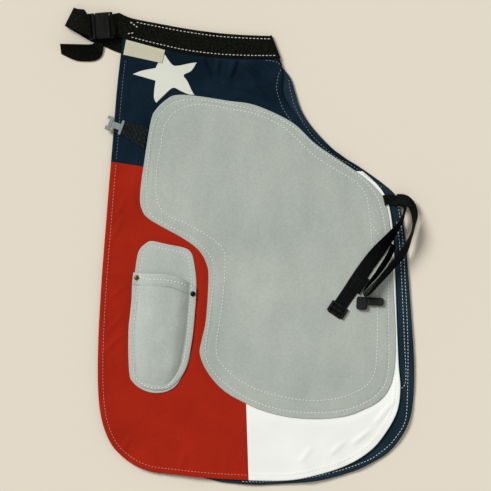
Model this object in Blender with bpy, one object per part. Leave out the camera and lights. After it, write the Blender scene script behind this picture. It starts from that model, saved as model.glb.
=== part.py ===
"""Farrier's apron, folded in half at the centre front and lying flat, its waist belt buckled.

The near leg lies on top with its outer face up. The far leg lies under it with its lining up, and
shows as a strip along the right edge and the hem. X runs across the legs, Y from the hem up to the
belt, Z up from the surface. Lengths are metres. Rows of the tables give places as shares of the
apron's width and length, counted from its lower left corner.
"""

import math

import bmesh
import bpy
from mathutils import Vector
from mathutils.geometry import delaunay_2d_cdt

# Driving sizes
APRON_WIDTH = 0.560
APRON_LENGTH = 0.836
CLOTH = 0.0010
SUEDE = 0.0016
BELT_WEBBING = 0.0018
BELT_WIDTH = 0.038
STRAP_WEBBING = 0.0015
LEG_STRAP_WIDTH = 0.025
CLEARANCE = 0.0003
SEAM_GAP = 0.0004
HEM_RIPPLE = 0.0050
PUCKER_HEIGHT = 0.0040
PUCKER_WIDTH = 0.018
PUCKER_PEAK = 0.30
PUCKER_WAIST = 0.40
PUCKER_FOOT = 0.65
PUCKER_FOOT_SHARE = 0.60
POCKET_DEPTH = 0.0120
POCKET_SEAM = 0.012
RIVET_DIAMETER = 0.009
RIVET_HEIGHT = 0.0016
BUCKLE_WIDTH = 0.046
BUCKLE_THICKNESS = 0.012
BUCKLE_WALL = 0.0025
BUCKLE_BAR = 0.0040
BUCKLE_BASE = 0.008
BUCKLE_ARM = 0.0030
BUCKLE_ARM_THICKNESS = 0.0056
BUCKLE_TONGUE = 0.0100
BUCKLE_TONGUE_THICKNESS = 0.0048
PRONG_WIDTH = 0.0060
PRONG_TIP_ROOM = 0.003
BUCKLE_WINDOW_INSET = 0.006
BUCKLE_CHAMFER = 0.0015
FINE_CHAMFER = 0.0008
BAR_CHAMFER_SHARE = 0.28
BELT_TUCK = 0.005
PRONG_PLASTIC = 0.0045
SIDE_PRONG_WIDTH = 0.026
SIDE_NECK_SHARE = 0.44
SIDE_PRONG_STATIONS = (0.0048, 0.0200, 0.0265)
SIDE_HOOKS = ((0.0310, 0.0060), (0.0300, 0.0080))
SMALL_STEP = 0.0005
LEG_PRONG_THICKNESS = 0.0090
LEG_PRONG_WIDTH = 0.023
LEG_PRONG_LENGTH = 0.048
LEG_PLATE_LENGTH = 0.0195
LEG_ARM_WIDTH = 0.0140
LEG_SLOT_ENDS = (0.0045, 0.0155)
LEG_SLOT_INSET = 0.0035
LEG_SLOT_WIDTH = 0.0035
LEG_PRONG_ROUND_SHARE = 0.30
SLIDER_WIDTH = 0.033
SLIDER_LENGTH = 0.021
SLIDER_THICKNESS = 0.0030
SLIDER_BAR = 0.0035
OUTLINE_STEP = 0.016

# Heights of the layers above the surface, from the bottom up
REST_LIFT = max(SUEDE, BELT_WEBBING) + CLEARANCE
FAR_FACE = 0.0
FAR_LINING = FAR_FACE + CLOTH + CLEARANCE
NEAR_LINING = FAR_LINING + CLOTH + CLEARANCE
NEAR_FACE = NEAR_LINING + CLOTH + CLEARANCE
ON_FACE = NEAR_FACE + CLOTH + CLEARANCE
FACE_TOP = REST_LIFT + ON_FACE
PATCH_TOP = FACE_TOP + SUEDE + CLEARANCE
FOLD_HEIGHT = (FACE_TOP + BELT_WEBBING) / 2

# The centre fold, from the belt to the end of the joined cloth: share of width, of length
FOLD_CLOTH = (0.554, 0.929)
FOLD_LOW = (0.579, 0.887)

# Outlines: share of width, share of length, and 1 on a round stretch or 0 at a corner
YOKE_TOP_EDGE = (
    (0.554, 0.929, 0),
    (0.481, 0.927, 1),
    (0.386, 0.931, 1),
    (0.291, 0.941, 1),
    (0.196, 0.952, 1),
    (0.084, 0.971, 0),
)
NEAR_LEG = YOKE_TOP_EDGE + (
    (0.062, 0.847, 1),
    (0.049, 0.741, 1),
    (0.032, 0.602, 1),
    (0.012, 0.430, 1),
    (0.002, 0.307, 1),
    (0.001, 0.205, 1),
    (0.012, 0.140, 1),
    (0.038, 0.092, 1),
    (0.071, 0.064, 1),
    (0.116, 0.042, 1),
    (0.171, 0.028, 1),
    (0.245, 0.022, 1),
    (0.384, 0.013, 1),
    (0.574, 0.009, 1),
    (0.679, 0.019, 1),
    (0.784, 0.041, 1),
    (0.862, 0.073, 1),
    (0.911, 0.112, 1),
    (0.946, 0.157, 1),
    (0.956, 0.205, 1),
    (0.951, 0.250, 1),
    (0.946, 0.324, 1),
    (0.935, 0.510, 1),
    (0.925, 0.576, 1),
    (0.907, 0.613, 1),
    (0.875, 0.641, 1),
    (0.826, 0.669, 1),
    (0.763, 0.701, 1),
    (0.706, 0.727, 1),
    (0.657, 0.758, 1),
    (0.612, 0.795, 1),
    (0.586, 0.824, 1),
    (0.581, 0.845, 1),
    (0.584, 0.868, 1),
    (0.579, 0.887, 0),
)
FAR_LEG = (
    (0.554, 0.929, 0),
    (0.320, 0.930, 1),
    (0.100, 0.955, 0),
    (0.070, 0.847, 1),
    (0.056, 0.741, 1),
    (0.039, 0.602, 1),
    (0.019, 0.430, 1),
    (0.009, 0.307, 1),
    (0.008, 0.205, 1),
    (0.021, 0.145, 1),
    (0.049, 0.097, 1),
    (0.087, 0.066, 1),
    (0.137, 0.044, 1),
    (0.192, 0.032, 1),
    (0.260, 0.026, 1),
    (0.345, 0.013, 1),
    (0.402, 0.005, 1),
    (0.503, 0.000, 1),
    (0.584, 0.002, 1),
    (0.700, 0.009, 1),
    (0.797, 0.026, 1),
    (0.859, 0.044, 1),
    (0.916, 0.067, 1),
    (0.958, 0.100, 1),
    (0.984, 0.135, 1),
    (0.996, 0.175, 1),
    (1.000, 0.230, 1),
    (0.998, 0.284, 1),
    (0.988, 0.384, 1),
    (0.973, 0.518, 1),
    (0.956, 0.580, 1),
    (0.941, 0.612, 1),
    (0.901, 0.638, 1),
    (0.823, 0.675, 1),
    (0.757, 0.703, 1),
    (0.684, 0.752, 1),
    (0.643, 0.793, 1),
    (0.624, 0.830, 1),
    (0.608, 0.862, 1),
    (0.579, 0.887, 0),
)
PATCH = (
    (0.248, 0.825, 1),
    (0.313, 0.823, 1),
    (0.410, 0.813, 1),
    (0.500, 0.803, 1),
    (0.612, 0.768, 1),
    (0.681, 0.726, 1),
    (0.730, 0.702, 1),
    (0.820, 0.662, 1),
    (0.874, 0.632, 1),
    (0.904, 0.605, 1),
    (0.920, 0.566, 1),
    (0.930, 0.490, 1),
    (0.936, 0.400, 1),
    (0.941, 0.315, 1),
    (0.938, 0.250, 1),
    (0.922, 0.207, 1),
    (0.889, 0.178, 1),
    (0.837, 0.159, 1),
    (0.784, 0.146, 1),
    (0.695, 0.140, 1),
    (0.601, 0.144, 1),
    (0.522, 0.157, 1),
    (0.469, 0.172, 1),
    (0.401, 0.198, 1),
    (0.350, 0.235, 1),
    (0.323, 0.275, 1),
    (0.328, 0.305, 1),
    (0.342, 0.350, 1),
    (0.350, 0.440, 1),
    (0.341, 0.472, 1),
    (0.318, 0.497, 1),
    (0.273, 0.520, 1),
    (0.168, 0.560, 1),
    (0.140, 0.582, 1),
    (0.134, 0.614, 1),
    (0.147, 0.684, 1),
    (0.168, 0.770, 1),
    (0.185, 0.795, 1),
    (0.216, 0.815, 1),
)
FAR_PATCH_SHIFT = (0.030, -0.003)
POCKET = (
    (0.173, 0.516, 1),
    (0.152, 0.511, 1),
    (0.129, 0.493, 1),
    (0.118, 0.451, 1),
    (0.105, 0.380, 1),
    (0.097, 0.309, 1),
    (0.100, 0.237, 1),
    (0.112, 0.217, 1),
    (0.136, 0.204, 1),
    (0.165, 0.196, 1),
    (0.198, 0.195, 1),
    (0.225, 0.200, 1),
    (0.252, 0.214, 1),
    (0.284, 0.255, 1),
    (0.294, 0.290, 1),
    (0.305, 0.360, 1),
    (0.312, 0.427, 1),
    (0.304, 0.473, 1),
    (0.295, 0.492, 1),
    (0.273, 0.502, 1),
    (0.221, 0.509, 1),
)
STAR = (
    (0.111, 0.869, 0),
    (0.137, 0.876, 1),
    (0.166, 0.880, 1),
    (0.183, 0.882, 0),
    (0.193, 0.895, 1),
    (0.212, 0.911, 0),
    (0.224, 0.899, 1),
    (0.238, 0.888, 1),
    (0.255, 0.887, 1),
    (0.292, 0.892, 1),
    (0.313, 0.894, 0),
    (0.296, 0.876, 1),
    (0.272, 0.867, 1),
    (0.284, 0.854, 1),
    (0.297, 0.835, 1),
    (0.306, 0.825, 0),
    (0.288, 0.826, 1),
    (0.263, 0.833, 1),
    (0.238, 0.840, 1),
    (0.211, 0.825, 1),
    (0.185, 0.808, 0),
    (0.178, 0.818, 1),
    (0.179, 0.837, 1),
    (0.183, 0.855, 0),
    (0.158, 0.860, 1),
)
LABEL = (
    (0.090, 0.942, 0),
    (0.213, 0.920, 0),
    (0.204, 0.892, 0),
    (0.081, 0.910, 0),
)

# Colour seams: share of width, share of length
NEAR_YOKE_SEAM = ((-0.100, 0.691), (0.041, 0.684), (0.149, 0.673), (0.481, 0.667), (1.100, 0.661))
FAR_YOKE_SEAM = ((-0.100, 0.688), (0.180, 0.670), (0.511, 0.664), (1.100, 0.658))
NEAR_LEG_SEAM = ((0.482, -0.100), (0.469, 0.172), (0.443, 0.720))
FAR_LEG_SEAM = ((0.534, -0.100), (0.520, 0.172), (0.494, 0.720))

# Where the folded cloth lies flat on the patch and the belt under it
FLAT_ZONE = (
    (0.060, 1.080),
    (0.080, 0.860),
    (0.078, 0.700),
    (0.105, 0.560),
    (0.088, 0.400),
    (0.078, 0.300),
    (0.085, 0.190),
    (0.160, 0.165),
    (0.330, 0.170),
    (0.430, 0.130),
    (0.600, 0.105),
    (0.760, 0.105),
    (0.880, 0.125),
    (0.962, 0.190),
    (0.976, 0.320),
    (0.965, 0.480),
    (0.957, 0.570),
    (0.942, 0.618),
    (0.812, 0.684),
    (0.702, 0.742),
    (0.634, 0.810),
    (0.640, 0.990),
)
# Ripples along the free edges: share of width, of length, and height as a share of the ripple
EDGE_RIPPLES = (
    (-0.040, 1.080, 0.20),
    (0.020, 0.900, 0.10),
    (0.000, 0.780, 0.05),
    (-0.010, 0.690, 0.35),
    (-0.020, 0.610, 0.95),
    (-0.030, 0.540, 0.10),
    (-0.030, 0.460, 0.80),
    (-0.040, 0.380, 0.05),
    (-0.040, 0.290, 1.00),
    (-0.040, 0.200, 0.10),
    (-0.030, 0.120, 0.55),
    (0.020, 0.050, 0.05),
    (0.090, 0.005, 0.70),
    (0.180, -0.020, 0.05),
    (0.280, -0.030, 0.75),
    (0.380, -0.040, 0.05),
    (0.490, -0.040, 0.80),
    (0.600, -0.040, 0.05),
    (0.700, -0.030, 0.95),
    (0.790, -0.010, 0.10),
    (0.870, 0.010, 0.90),
    (0.950, 0.050, 0.05),
    (1.020, 0.110, 0.60),
    (1.040, 0.190, 0.05),
    (1.040, 0.280, 0.45),
    (1.030, 0.380, 0.05),
    (1.015, 0.470, 0.40),
    (1.000, 0.560, 0.05),
    (0.970, 0.640, 0.35),
    (0.860, 0.700, 0.10),
    (0.740, 0.760, 0.30),
    (0.670, 0.830, 0.10),
    (0.720, 1.080, 0.10),
    (0.070, 0.130, 0.90),
    (0.200, 0.095, 0.15),
    (0.330, 0.085, 0.85),
    (0.470, 0.060, 0.25),
    (0.640, 0.050, 0.85),
    (0.800, 0.070, 0.30),
    (0.920, 0.125, 0.70),
    (0.045, 0.250, 0.75),
    (0.040, 0.350, 0.35),
    (0.050, 0.440, 0.70),
    (0.060, 0.580, 0.65),
)
# Puckers of the near yoke below the belt: share of width and length where each starts, where it
# ends, and its height as a share of the pucker height
PUCKERS = (
    (0.330, 0.898, 0.327, 0.864, 0.55),
    (0.385, 0.896, 0.378, 0.852, 0.80),
    (0.438, 0.894, 0.426, 0.850, 1.00),
    (0.492, 0.894, 0.519, 0.862, 1.00),
    (0.541, 0.892, 0.562, 0.866, 0.60),
)

# Belt: top edge and bottom edge, each as share of width and of length
NEAR_BELT = (
    (0.068, 0.999, 0.058, 0.948),
    (0.090, 0.992, 0.078, 0.946),
    (0.117, 0.986, 0.101, 0.942),
    (0.185, 0.977, 0.168, 0.930),
    (0.284, 0.965, 0.272, 0.914),
    (0.384, 0.956, 0.377, 0.905),
    (0.465, 0.952, 0.481, 0.902),
    (0.542, 0.950, 0.570, 0.902),
)
FAR_BELT = (
    (0.542, 0.950, 0.570, 0.902),
    (0.465, 0.951, 0.481, 0.900),
    (0.384, 0.950, 0.380, 0.899),
    (0.284, 0.954, 0.272, 0.898),
    (0.190, 0.947, 0.165, 0.899),
    (0.098, 0.959, 0.072, 0.914),
    (0.044, 0.973, 0.017, 0.929),
    (0.016, 0.983, -0.025, 0.940),
)
BELT_LEFT_FOLD = (-0.065, 1.007, -0.094, 0.968)
BELT_OVER_LEFT = (-0.041, 1.005, -0.058, 0.957)
LEFT_FOLD_HEIGHT = 0.0125
OVER_LEFT_HEIGHT = 0.0167

# Middle of each buckle bar: share of width and of length
SOCKET_BAR = (0.046, 0.973)
PRONG_BAR = (-0.025, 0.969)

# Loose end of the belt: upper edge and lower edge as shares, then their heights as shares of the
# belt's real width
TAIL = (
    (0.000, 0.950, 0.022, 0.945, 0.058, 0.058),
    (-0.006, 0.941, 0.018, 0.932, 0.075, 0.058),
    (-0.014, 0.934, 0.016, 0.917, 0.160, 0.030),
    (-0.022, 0.932, 0.008, 0.905, 0.300, 0.010),
    (-0.034, 0.931, -0.012, 0.898, 0.420, 0.010),
    (-0.056, 0.931, -0.045, 0.897, 0.520, 0.010),
    (-0.085, 0.931, -0.075, 0.900, 0.600, 0.010),
    (-0.116, 0.931, -0.116, 0.913, 0.700, 0.010),
)

# Leg strap webbing: share of width, of length, height above the patch as a share of the strap's
# width, roll in degrees and share of the full width
LEG_STRAP = (
    (0.903, 0.602, 0.04, 0, 0.74),
    (0.918, 0.604, -0.01, 0, 0.70),
    (0.935, 0.603, -0.01, 0, 0.72),
    (0.957, 0.599, 0.12, -25, 0.80),
    (0.968, 0.588, 0.36, -70, 1.00),
    (0.966, 0.576, 0.50, -78, 1.00),
    (0.958, 0.559, 0.50, -73, 1.00),
    (0.940, 0.541, 0.46, -62, 1.00),
    (0.914, 0.518, 0.36, -42, 1.00),
    (0.872, 0.484, 0.16, -15, 1.00),
    (0.831, 0.446, 0.04, 0, 1.00),
    (0.799, 0.413, 0.02, 0, 1.00),
    (0.775, 0.389, 0.00, 0, 1.00),
    (0.757, 0.371, 0.00, 0, 1.00),
    (0.745, 0.359, 0.00, 0, 1.00),
)
LEG_STRAP_LOOP = (
    (0.943, 0.605, 0.22, 0, 0.70),
    (0.962, 0.604, 0.34, -12, 0.76),
    (0.979, 0.599, 0.44, -38, 0.85),
    (0.993, 0.587, 0.48, -54, 1.00),
    (0.999, 0.570, 0.49, -60, 1.00),
    (0.996, 0.546, 0.50, -76, 1.00),
    (0.986, 0.524, 0.49, -74, 1.00),
    (0.965, 0.494, 0.48, -58, 1.00),
    (0.926, 0.461, 0.47, -60, 1.00),
    (0.892, 0.435, 0.48, -66, 1.00),
    (0.864, 0.411, 0.50, -76, 1.00),
    (0.852, 0.402, 0.52, -84, 1.00),
    (0.841, 0.401, 0.52, -90, 1.00),
    (0.839, 0.409, 0.52, -94, 1.00),
    (0.853, 0.424, 0.51, -104, 1.00),
    (0.880, 0.446, 0.50, -112, 1.00),
    (0.905, 0.470, 0.49, -116, 1.00),
    (0.923, 0.491, 0.49, -116, 1.00),
    (0.932, 0.509, 0.50, -112, 1.00),
)
LEG_STRAP_TAIL = (
    (0.841, 0.443, 0.15, 0, 0.92),
    (0.822, 0.425, 0.13, 0, 0.92),
    (0.808, 0.411, 0.13, 0, 0.92),
)
SLIDER_CENTRE = (0.757, 0.371)
SLIDER_TURN = 57.0
LEG_PRONG_CENTRE = (0.8165, 0.3855)
LEG_PRONG_TURN = -3.0
SIDE_STRAP = (
    (0.088, 0.767, 0),
    (0.160, 0.757, 0),
    (0.149, 0.708, 0),
    (0.073, 0.742, 0),
)
SIDE_PRONG_CENTRE = (0.0790, 0.7550)
SIDE_PRONG_TURN = 160.0

# Pouch sections, mouth to toe: left edge, right edge (shares), rise as a share of its depth,
# and share of the mouth's arch
POUCH = (
    (0.113, 0.450, 0.311, 0.417, 0.78, 1.00),
    (0.109, 0.425, 0.310, 0.392, 0.86, 1.00),
    (0.106, 0.380, 0.307, 0.366, 1.00, 0.35),
    (0.098, 0.334, 0.301, 0.322, 1.00, 0.00),
    (0.098, 0.295, 0.292, 0.284, 0.90, 0.00),
    (0.101, 0.255, 0.280, 0.250, 0.70, 0.00),
    (0.108, 0.230, 0.265, 0.231, 0.40, 0.00),
    (0.124, 0.216, 0.249, 0.218, 0.18, 0.00),
    (0.145, 0.207, 0.230, 0.207, 0.06, 0.00),
)
POUCH_TOE = (0.178, 0.201, 0.206, 0.201)
# How far the mouth and the hem's edge arch upward, and how far the arch's peak leans to the right
POUCH_ARCH = 0.0115
POUCH_ARCH_LEAN = 1.5
# Share of the rise across the pouch's width, from seam to seam
POUCH_CROSS = ((0.10, 0.40), (0.25, 0.80), (0.42, 0.97), (0.60, 1.00), (0.80, 0.92), (0.94, 0.50))
RIVETS = {"rivet_left": (0.1235, 0.4385), "rivet_right": (0.3010, 0.4045)}

# Colour, roughness and metallic value of each material
COLOURS = {
    "navy_canvas": ((0.008, 0.018, 0.034, 1.0), 0.85, 0.0),
    "red_canvas": ((0.380, 0.020, 0.009, 1.0), 0.85, 0.0),
    "white_canvas": ((0.830, 0.840, 0.790, 1.0), 0.80, 0.0),
    "grey_suede": ((0.410, 0.460, 0.415, 1.0), 0.95, 0.0),
    "label_cloth": ((0.560, 0.540, 0.400, 1.0), 0.80, 0.0),
    "black_webbing": ((0.005, 0.006, 0.005, 1.0), 0.60, 0.0),
    "black_plastic": ((0.007, 0.007, 0.007, 1.0), 0.35, 0.0),
    "grey_plastic": ((0.330, 0.350, 0.360, 1.0), 0.40, 0.0),
    "dark_grey_plastic": ((0.020, 0.022, 0.022, 1.0), 0.40, 0.0),
    "brass": ((0.120, 0.070, 0.020, 1.0), 0.40, 0.9),
    "black_metal": ((0.010, 0.010, 0.010, 1.0), 0.40, 0.8),
}

ARC_STEPS = 8


def clear_scene():
    for obj in list(bpy.data.objects):
        bpy.data.objects.remove(obj, do_unlink=True)


def material(name):
    found = bpy.data.materials.get(name)
    if found:
        return found
    colour, roughness, metallic = COLOURS[name]
    made = bpy.data.materials.new(name)
    made.use_nodes = True
    shader = made.node_tree.nodes["Principled BSDF"]
    shader.inputs["Base Color"].default_value = colour
    shader.inputs["Roughness"].default_value = roughness
    shader.inputs["Metallic"].default_value = metallic
    return made


def add_object(name, verts, faces, finish):
    mesh = bpy.data.meshes.new(name)
    mesh.from_pydata([tuple(v) for v in verts], [], faces)
    mesh.update()
    work = bmesh.new()
    work.from_mesh(mesh)
    bmesh.ops.recalc_face_normals(work, faces=work.faces)
    work.to_mesh(mesh)
    work.free()
    mesh.materials.append(material(finish))
    obj = bpy.data.objects.new(name, mesh)
    bpy.context.scene.collection.objects.link(obj)
    return obj


def place(share):
    """Turns shares of the apron's width and length into a point on the surface."""
    return Vector((share[0] * APRON_WIDTH, share[1] * APRON_LENGTH))


def spline_point(before, start, end, after, t):
    """A point of the Catmull-Rom curve between start and end; works on any number of columns."""
    return [
        0.5 * (2 * b + (c - a) * t + (2 * a - 5 * b + 4 * c - d) * t**2 + (3 * b - a - 3 * c + d) * t**3)
        for a, b, c, d in zip(before, start, end, after)
    ]


def smooth_outline(rows):
    """Points of a closed outline, curved through its round rows and straight between corners."""
    points = []
    count = len(rows)
    for i, (u, v, bend) in enumerate(rows):
        start = place((u, v))
        after_row = rows[(i + 1) % count]
        end = place(after_row)
        before = place(rows[i - 1]) if bend else start
        after = place(rows[(i + 2) % count]) if after_row[2] else end
        if not bend and not after_row[2]:
            points.append(start)
            continue
        steps = max(1, round((end - start).length / OUTLINE_STEP))
        for k in range(steps):
            points.append(Vector(spline_point(before, start, end, after, k / steps)))
    return points


def smooth_rows(rows, steps):
    """Rows of a table with `steps` more rows between each two, read from a smooth curve."""
    made = []
    for i in range(len(rows) - 1):
        before = rows[max(i - 1, 0)]
        after = rows[min(i + 2, len(rows) - 1)]
        for k in range(steps):
            made.append(spline_point(before, rows[i], rows[i + 1], after, k / steps))
    made.append(list(rows[-1]))
    return made


def inside(point, outline):
    """True where the point lies in the outline, by crossings of a ray."""
    hit = False
    for a, b in zip(outline, outline[1:] + outline[:1]):
        if (a.y > point.y) != (b.y > point.y):
            if point.x < a.x + (point.y - a.y) * (b.x - a.x) / (b.y - a.y):
                hit = not hit
    return hit


def triangles(points, edges):
    """Delaunay triangles of the points that keep the edges: points, triangles, source of each point."""
    made, _, faces, sources, _, _ = delaunay_2d_cdt(points, edges, [], 0, 1e-6)
    return made, faces, sources


def ring_edges(first, count):
    return [(first + i, first + (i + 1) % count) for i in range(count)]


class Ground:
    """The height of the folded cloth's underside: flat over the far patch, rippled at free edges."""

    def __init__(self):
        points = [place(row) for row in FLAT_ZONE]
        heights = [REST_LIFT] * len(points)
        edges = ring_edges(0, len(points))
        for u, v, share in EDGE_RIPPLES:
            points.append(place((u, v)))
            heights.append(CLEARANCE + share * HEM_RIPPLE)
        self.points, self.faces, sources = triangles(points, edges)
        self.heights = [heights[source[0]] for source in sources]

    def at(self, point):
        for a, b, c in self.faces:
            pa, pb, pc = self.points[a], self.points[b], self.points[c]
            area = (pb - pa).cross(pc - pa)
            wb = (point - pa).cross(pc - pa) / area
            wc = (pb - pa).cross(point - pa) / area
            wa = 1 - wb - wc
            if min(wa, wb, wc) > -1e-7:
                return wa * self.heights[a] + wb * self.heights[b] + wc * self.heights[c]
        return REST_LIFT

    def creases(self):
        """The edges where the ground bends: those of triangles that aren't flat at the rest lift."""
        found = set()
        for face in self.faces:
            if all(abs(self.heights[i] - REST_LIFT) < 1e-9 for i in face):
                continue
            for a, b in zip(face, face[1:] + face[:1]):
                found.add((min(a, b), max(a, b)))
        return sorted(found)


def clip(outline, side, seam, gap):
    """The part of the outline where side(point) is over the gap, closed along the seam's points."""
    kept = []
    for a, b in zip(outline, outline[1:] + outline[:1]):
        da = side(a) - gap
        db = side(b) - gap
        if da > 0:
            kept.append(a.copy())
        if (da > 0) != (db > 0):
            crossing = a + (b - a) * (da / (da - db))
            kept.append(crossing)
            if da > 0:
                leave_index = len(kept)
    start, end = kept[leave_index - 1], kept[leave_index % len(kept)]
    way = end - start
    between = [p for p in seam if 0 < (p - start).dot(way) < way.length_squared]
    between.sort(key=lambda p: (p - start).dot(way))
    return kept[:leave_index] + between + kept[leave_index:]


def seam_value(seam, key, other, position):
    """Where a seam runs at this position: linear between its points."""
    for a, b in zip(seam, seam[1:]):
        if a[key] <= position <= b[key]:
            return a[other] + (b[other] - a[other]) * (position - a[key]) / (b[key] - a[key])
    return seam[-1][other]


def above_seam(outline, seam_rows, sign):
    seam = [place(row) for row in seam_rows]
    gap = SEAM_GAP / 2
    shifted = [Vector((p.x, p.y + sign * gap)) for p in seam]
    return clip(outline, lambda p: sign * (p.y - seam_value(seam, 0, 1, p.x)), shifted, gap)


def beside_seam(outline, seam_rows, sign):
    seam = [place(row) for row in seam_rows]
    gap = SEAM_GAP / 2
    shifted = [Vector((p.x + sign * gap, p.y)) for p in seam]
    return clip(outline, lambda p: sign * (p.x - seam_value(seam, 1, 0, p.y)), shifted, gap)


def leaf(outline, ground, puckers=()):
    """A flat piece of cloth cut by the ground's creases: points, triangles, underside and rim edges."""
    points = list(outline)
    edges = ring_edges(0, len(points))
    first = len(points)
    points += ground.points
    edges += [(first + a, first + b) for a, b in ground.creases()]
    peaks = {}
    for u0, v0, u1, v1, share in puckers:
        start, end = place((u0, v0)), place((u1, v1))
        across = (end - start).orthogonal().normalized() * PUCKER_WIDTH / 2
        first = len(points)
        waist = start.lerp(end, PUCKER_WAIST)
        high = start.lerp(end, PUCKER_PEAK)
        low = start.lerp(end, PUCKER_FOOT)
        points += [start, waist + across, end, waist - across, high, low]
        edges += ring_edges(first, 4) + [(first, first + 4), (first + 4, first + 5), (first + 5, first + 2)]
        edges += [(first + 4, first + 1), (first + 4, first + 3)]
        peaks[first + 4] = share * PUCKER_HEIGHT
        peaks[first + 5] = share * PUCKER_HEIGHT * PUCKER_FOOT_SHARE
    made, faces, sources = triangles(points, edges)
    kept = [f for f in faces if inside((made[f[0]] + made[f[1]] + made[f[2]]) / 3, outline)]
    used = sorted({i for face in kept for i in face})
    number = {old: new for new, old in enumerate(used)}
    flat = [made[i] for i in used]
    rise = [max([peaks.get(s, 0.0) for s in sources[i]] + [0.0]) for i in used]
    kept = [[number[i] for i in face] for face in kept]
    count = {}
    for face in kept:
        for a, b in zip(face, face[1:] + face[:1]):
            count[(a, b)] = True
    rim = [(a, b) for a, b in count if (b, a) not in count]
    under = [ground.at(p) + extra for p, extra in zip(flat, rise)]
    return flat, kept, under, rim


def raise_leaf(parts, level, thickness):
    """Vertices and faces of a leaf at its level: underside first, then top, without its rim."""
    flat, kept, under, _ = parts
    count = len(flat)
    verts = [(p.x, p.y, z + level) for p, z in zip(flat, under)]
    verts += [(p.x, p.y, z + level + thickness) for p, z in zip(flat, under)]
    faces = [[a, c, b] for a, b, c in kept]
    faces += [[count + a, count + b, count + c] for a, b, c in kept]
    return verts, faces


def rim_faces(rim, count, first=0):
    return [[first + a, first + b, first + count + b, first + count + a] for a, b in rim]


def sheet(name, outline, ground, level, thickness, finish, puckers=()):
    """One piece of cloth or suede that follows the ground at its level."""
    parts = leaf(outline, ground, puckers)
    verts, faces = raise_leaf(parts, level, thickness)
    faces += rim_faces(parts[3], len(parts[0]))
    return add_object(name, verts, faces, finish)


def folded_sheet(name, near_outline, far_outline, ground, near_level, far_level, finish, puckers=()):
    """One cloth that lies near side up, turns over the centre fold and comes back underneath."""
    fold = [place(FOLD_CLOTH), place(FOLD_LOW)]
    outward = (fold[1] - fold[0]).orthogonal().normalized()
    if outward.x < 0:
        outward = -outward
    verts, faces, ends = [], [], []
    for outline, level, extra in ((near_outline, near_level, puckers), (far_outline, far_level, ())):
        parts = leaf(outline, ground, extra)
        first = len(verts)
        count = len(parts[0])
        more_verts, more_faces = raise_leaf(parts, level, CLOTH)
        verts += more_verts
        faces += [[first + i for i in face] for face in more_faces]
        on_fold = [min(range(count), key=lambda i: (parts[0][i] - end).length) for end in fold]
        rim = [edge for edge in parts[3] if set(edge) != set(on_fold)]
        faces += rim_faces(rim, count, first)
        ends.append([(first + i, first + count + i) for i in on_fold])
    (near_a, near_b), (far_a, far_b) = ends
    rings = []
    outer = REST_LIFT + near_level + CLOTH - FOLD_HEIGHT
    inner = outer - CLOTH
    for end, near, far in ((fold[0], near_a, far_a), (fold[1], near_b, far_b)):
        outer_ids, inner_ids = [near[1]], [near[0]]
        for k in range(1, ARC_STEPS):
            angle = math.pi / 2 - math.pi * k / ARC_STEPS
            for radius, ids in ((outer, outer_ids), (inner, inner_ids)):
                spot = end + outward * radius * math.cos(angle)
                ids.append(len(verts))
                verts.append((spot.x, spot.y, FOLD_HEIGHT + radius * math.sin(angle)))
        outer_ids.append(far[0])
        inner_ids.append(far[1])
        rings.append((outer_ids, inner_ids))
    (outer_a, inner_a), (outer_b, inner_b) = rings
    for k in range(ARC_STEPS):
        faces.append([outer_a[k], outer_a[k + 1], outer_b[k + 1], outer_b[k]])
        faces.append([inner_a[k], inner_b[k], inner_b[k + 1], inner_a[k + 1]])
        faces.append([outer_a[k], inner_a[k], inner_a[k + 1], outer_a[k + 1]])
        faces.append([outer_b[k], outer_b[k + 1], inner_b[k + 1], inner_b[k]])
    return add_object(name, verts, faces, finish)


def strip(name, sections, thickness, finish):
    """A closed band through sections, each two edge points and the direction of its thickness."""
    verts, faces = [], []
    for a, b, up in sections:
        half = up.normalized() * thickness / 2
        verts += [a - half, b - half, b + half, a + half]
    for i in range(len(sections) - 1):
        for k in range(4):
            low = 4 * i
            faces.append([low + k, low + (k + 1) % 4, low + 4 + (k + 1) % 4, low + 4 + k])
    last = len(verts) - 4
    faces.append([3, 2, 1, 0])
    faces.append([last, last + 1, last + 2, last + 3])
    return add_object(name, verts, faces, finish)


def edge_sections(rows, heights):
    """Level sections of a band from its two edges' shares, each at its own height."""
    made = []
    for row, height in zip(rows, heights):
        a, b = place(row[:2]), place(row[2:4])
        made.append((Vector((a.x, a.y, height)), Vector((b.x, b.y, height)), Vector((0, 0, 1))))
    return made


def ribbon(name, rows, steps, width, thickness, base, finish):
    """Webbing along a route of table rows that may roll about its own length."""
    path = smooth_rows(rows, steps)
    middle = [Vector((r[0] * APRON_WIDTH, r[1] * APRON_LENGTH, base + r[2] * width)) for r in path]
    sections = []
    for i, row in enumerate(path):
        ahead = middle[min(i + 1, len(middle) - 1)] - middle[max(i - 1, 0)]
        ahead.z = 0
        ahead.normalize()
        side = Vector((-ahead.y, ahead.x, 0))
        roll = math.radians(row[3])
        across = (side * math.cos(roll) + Vector((0, 0, 1)) * math.sin(roll)) * width * row[4] / 2
        up = Vector((0, 0, 1)) * math.cos(roll) - side * math.sin(roll)
        sections.append((middle[i] + across, middle[i] - across, up))
    return strip(name, sections, thickness, finish)


def box_into(work, low, high, chamfer=0.0):
    """Adds a box between two corners, its edges cut back by the chamfer."""
    made = bmesh.ops.create_cube(work, size=1.0)["verts"]
    for vert in made:
        vert.co = Vector([lo + (hi - lo) * (c + 0.5) for lo, hi, c in zip(low, high, vert.co)])
    if chamfer:
        edges = list({edge for vert in made for edge in vert.link_edges})
        bmesh.ops.bevel(work, geom=edges, offset=chamfer, segments=1, affect="EDGES", profile=0.5)


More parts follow.
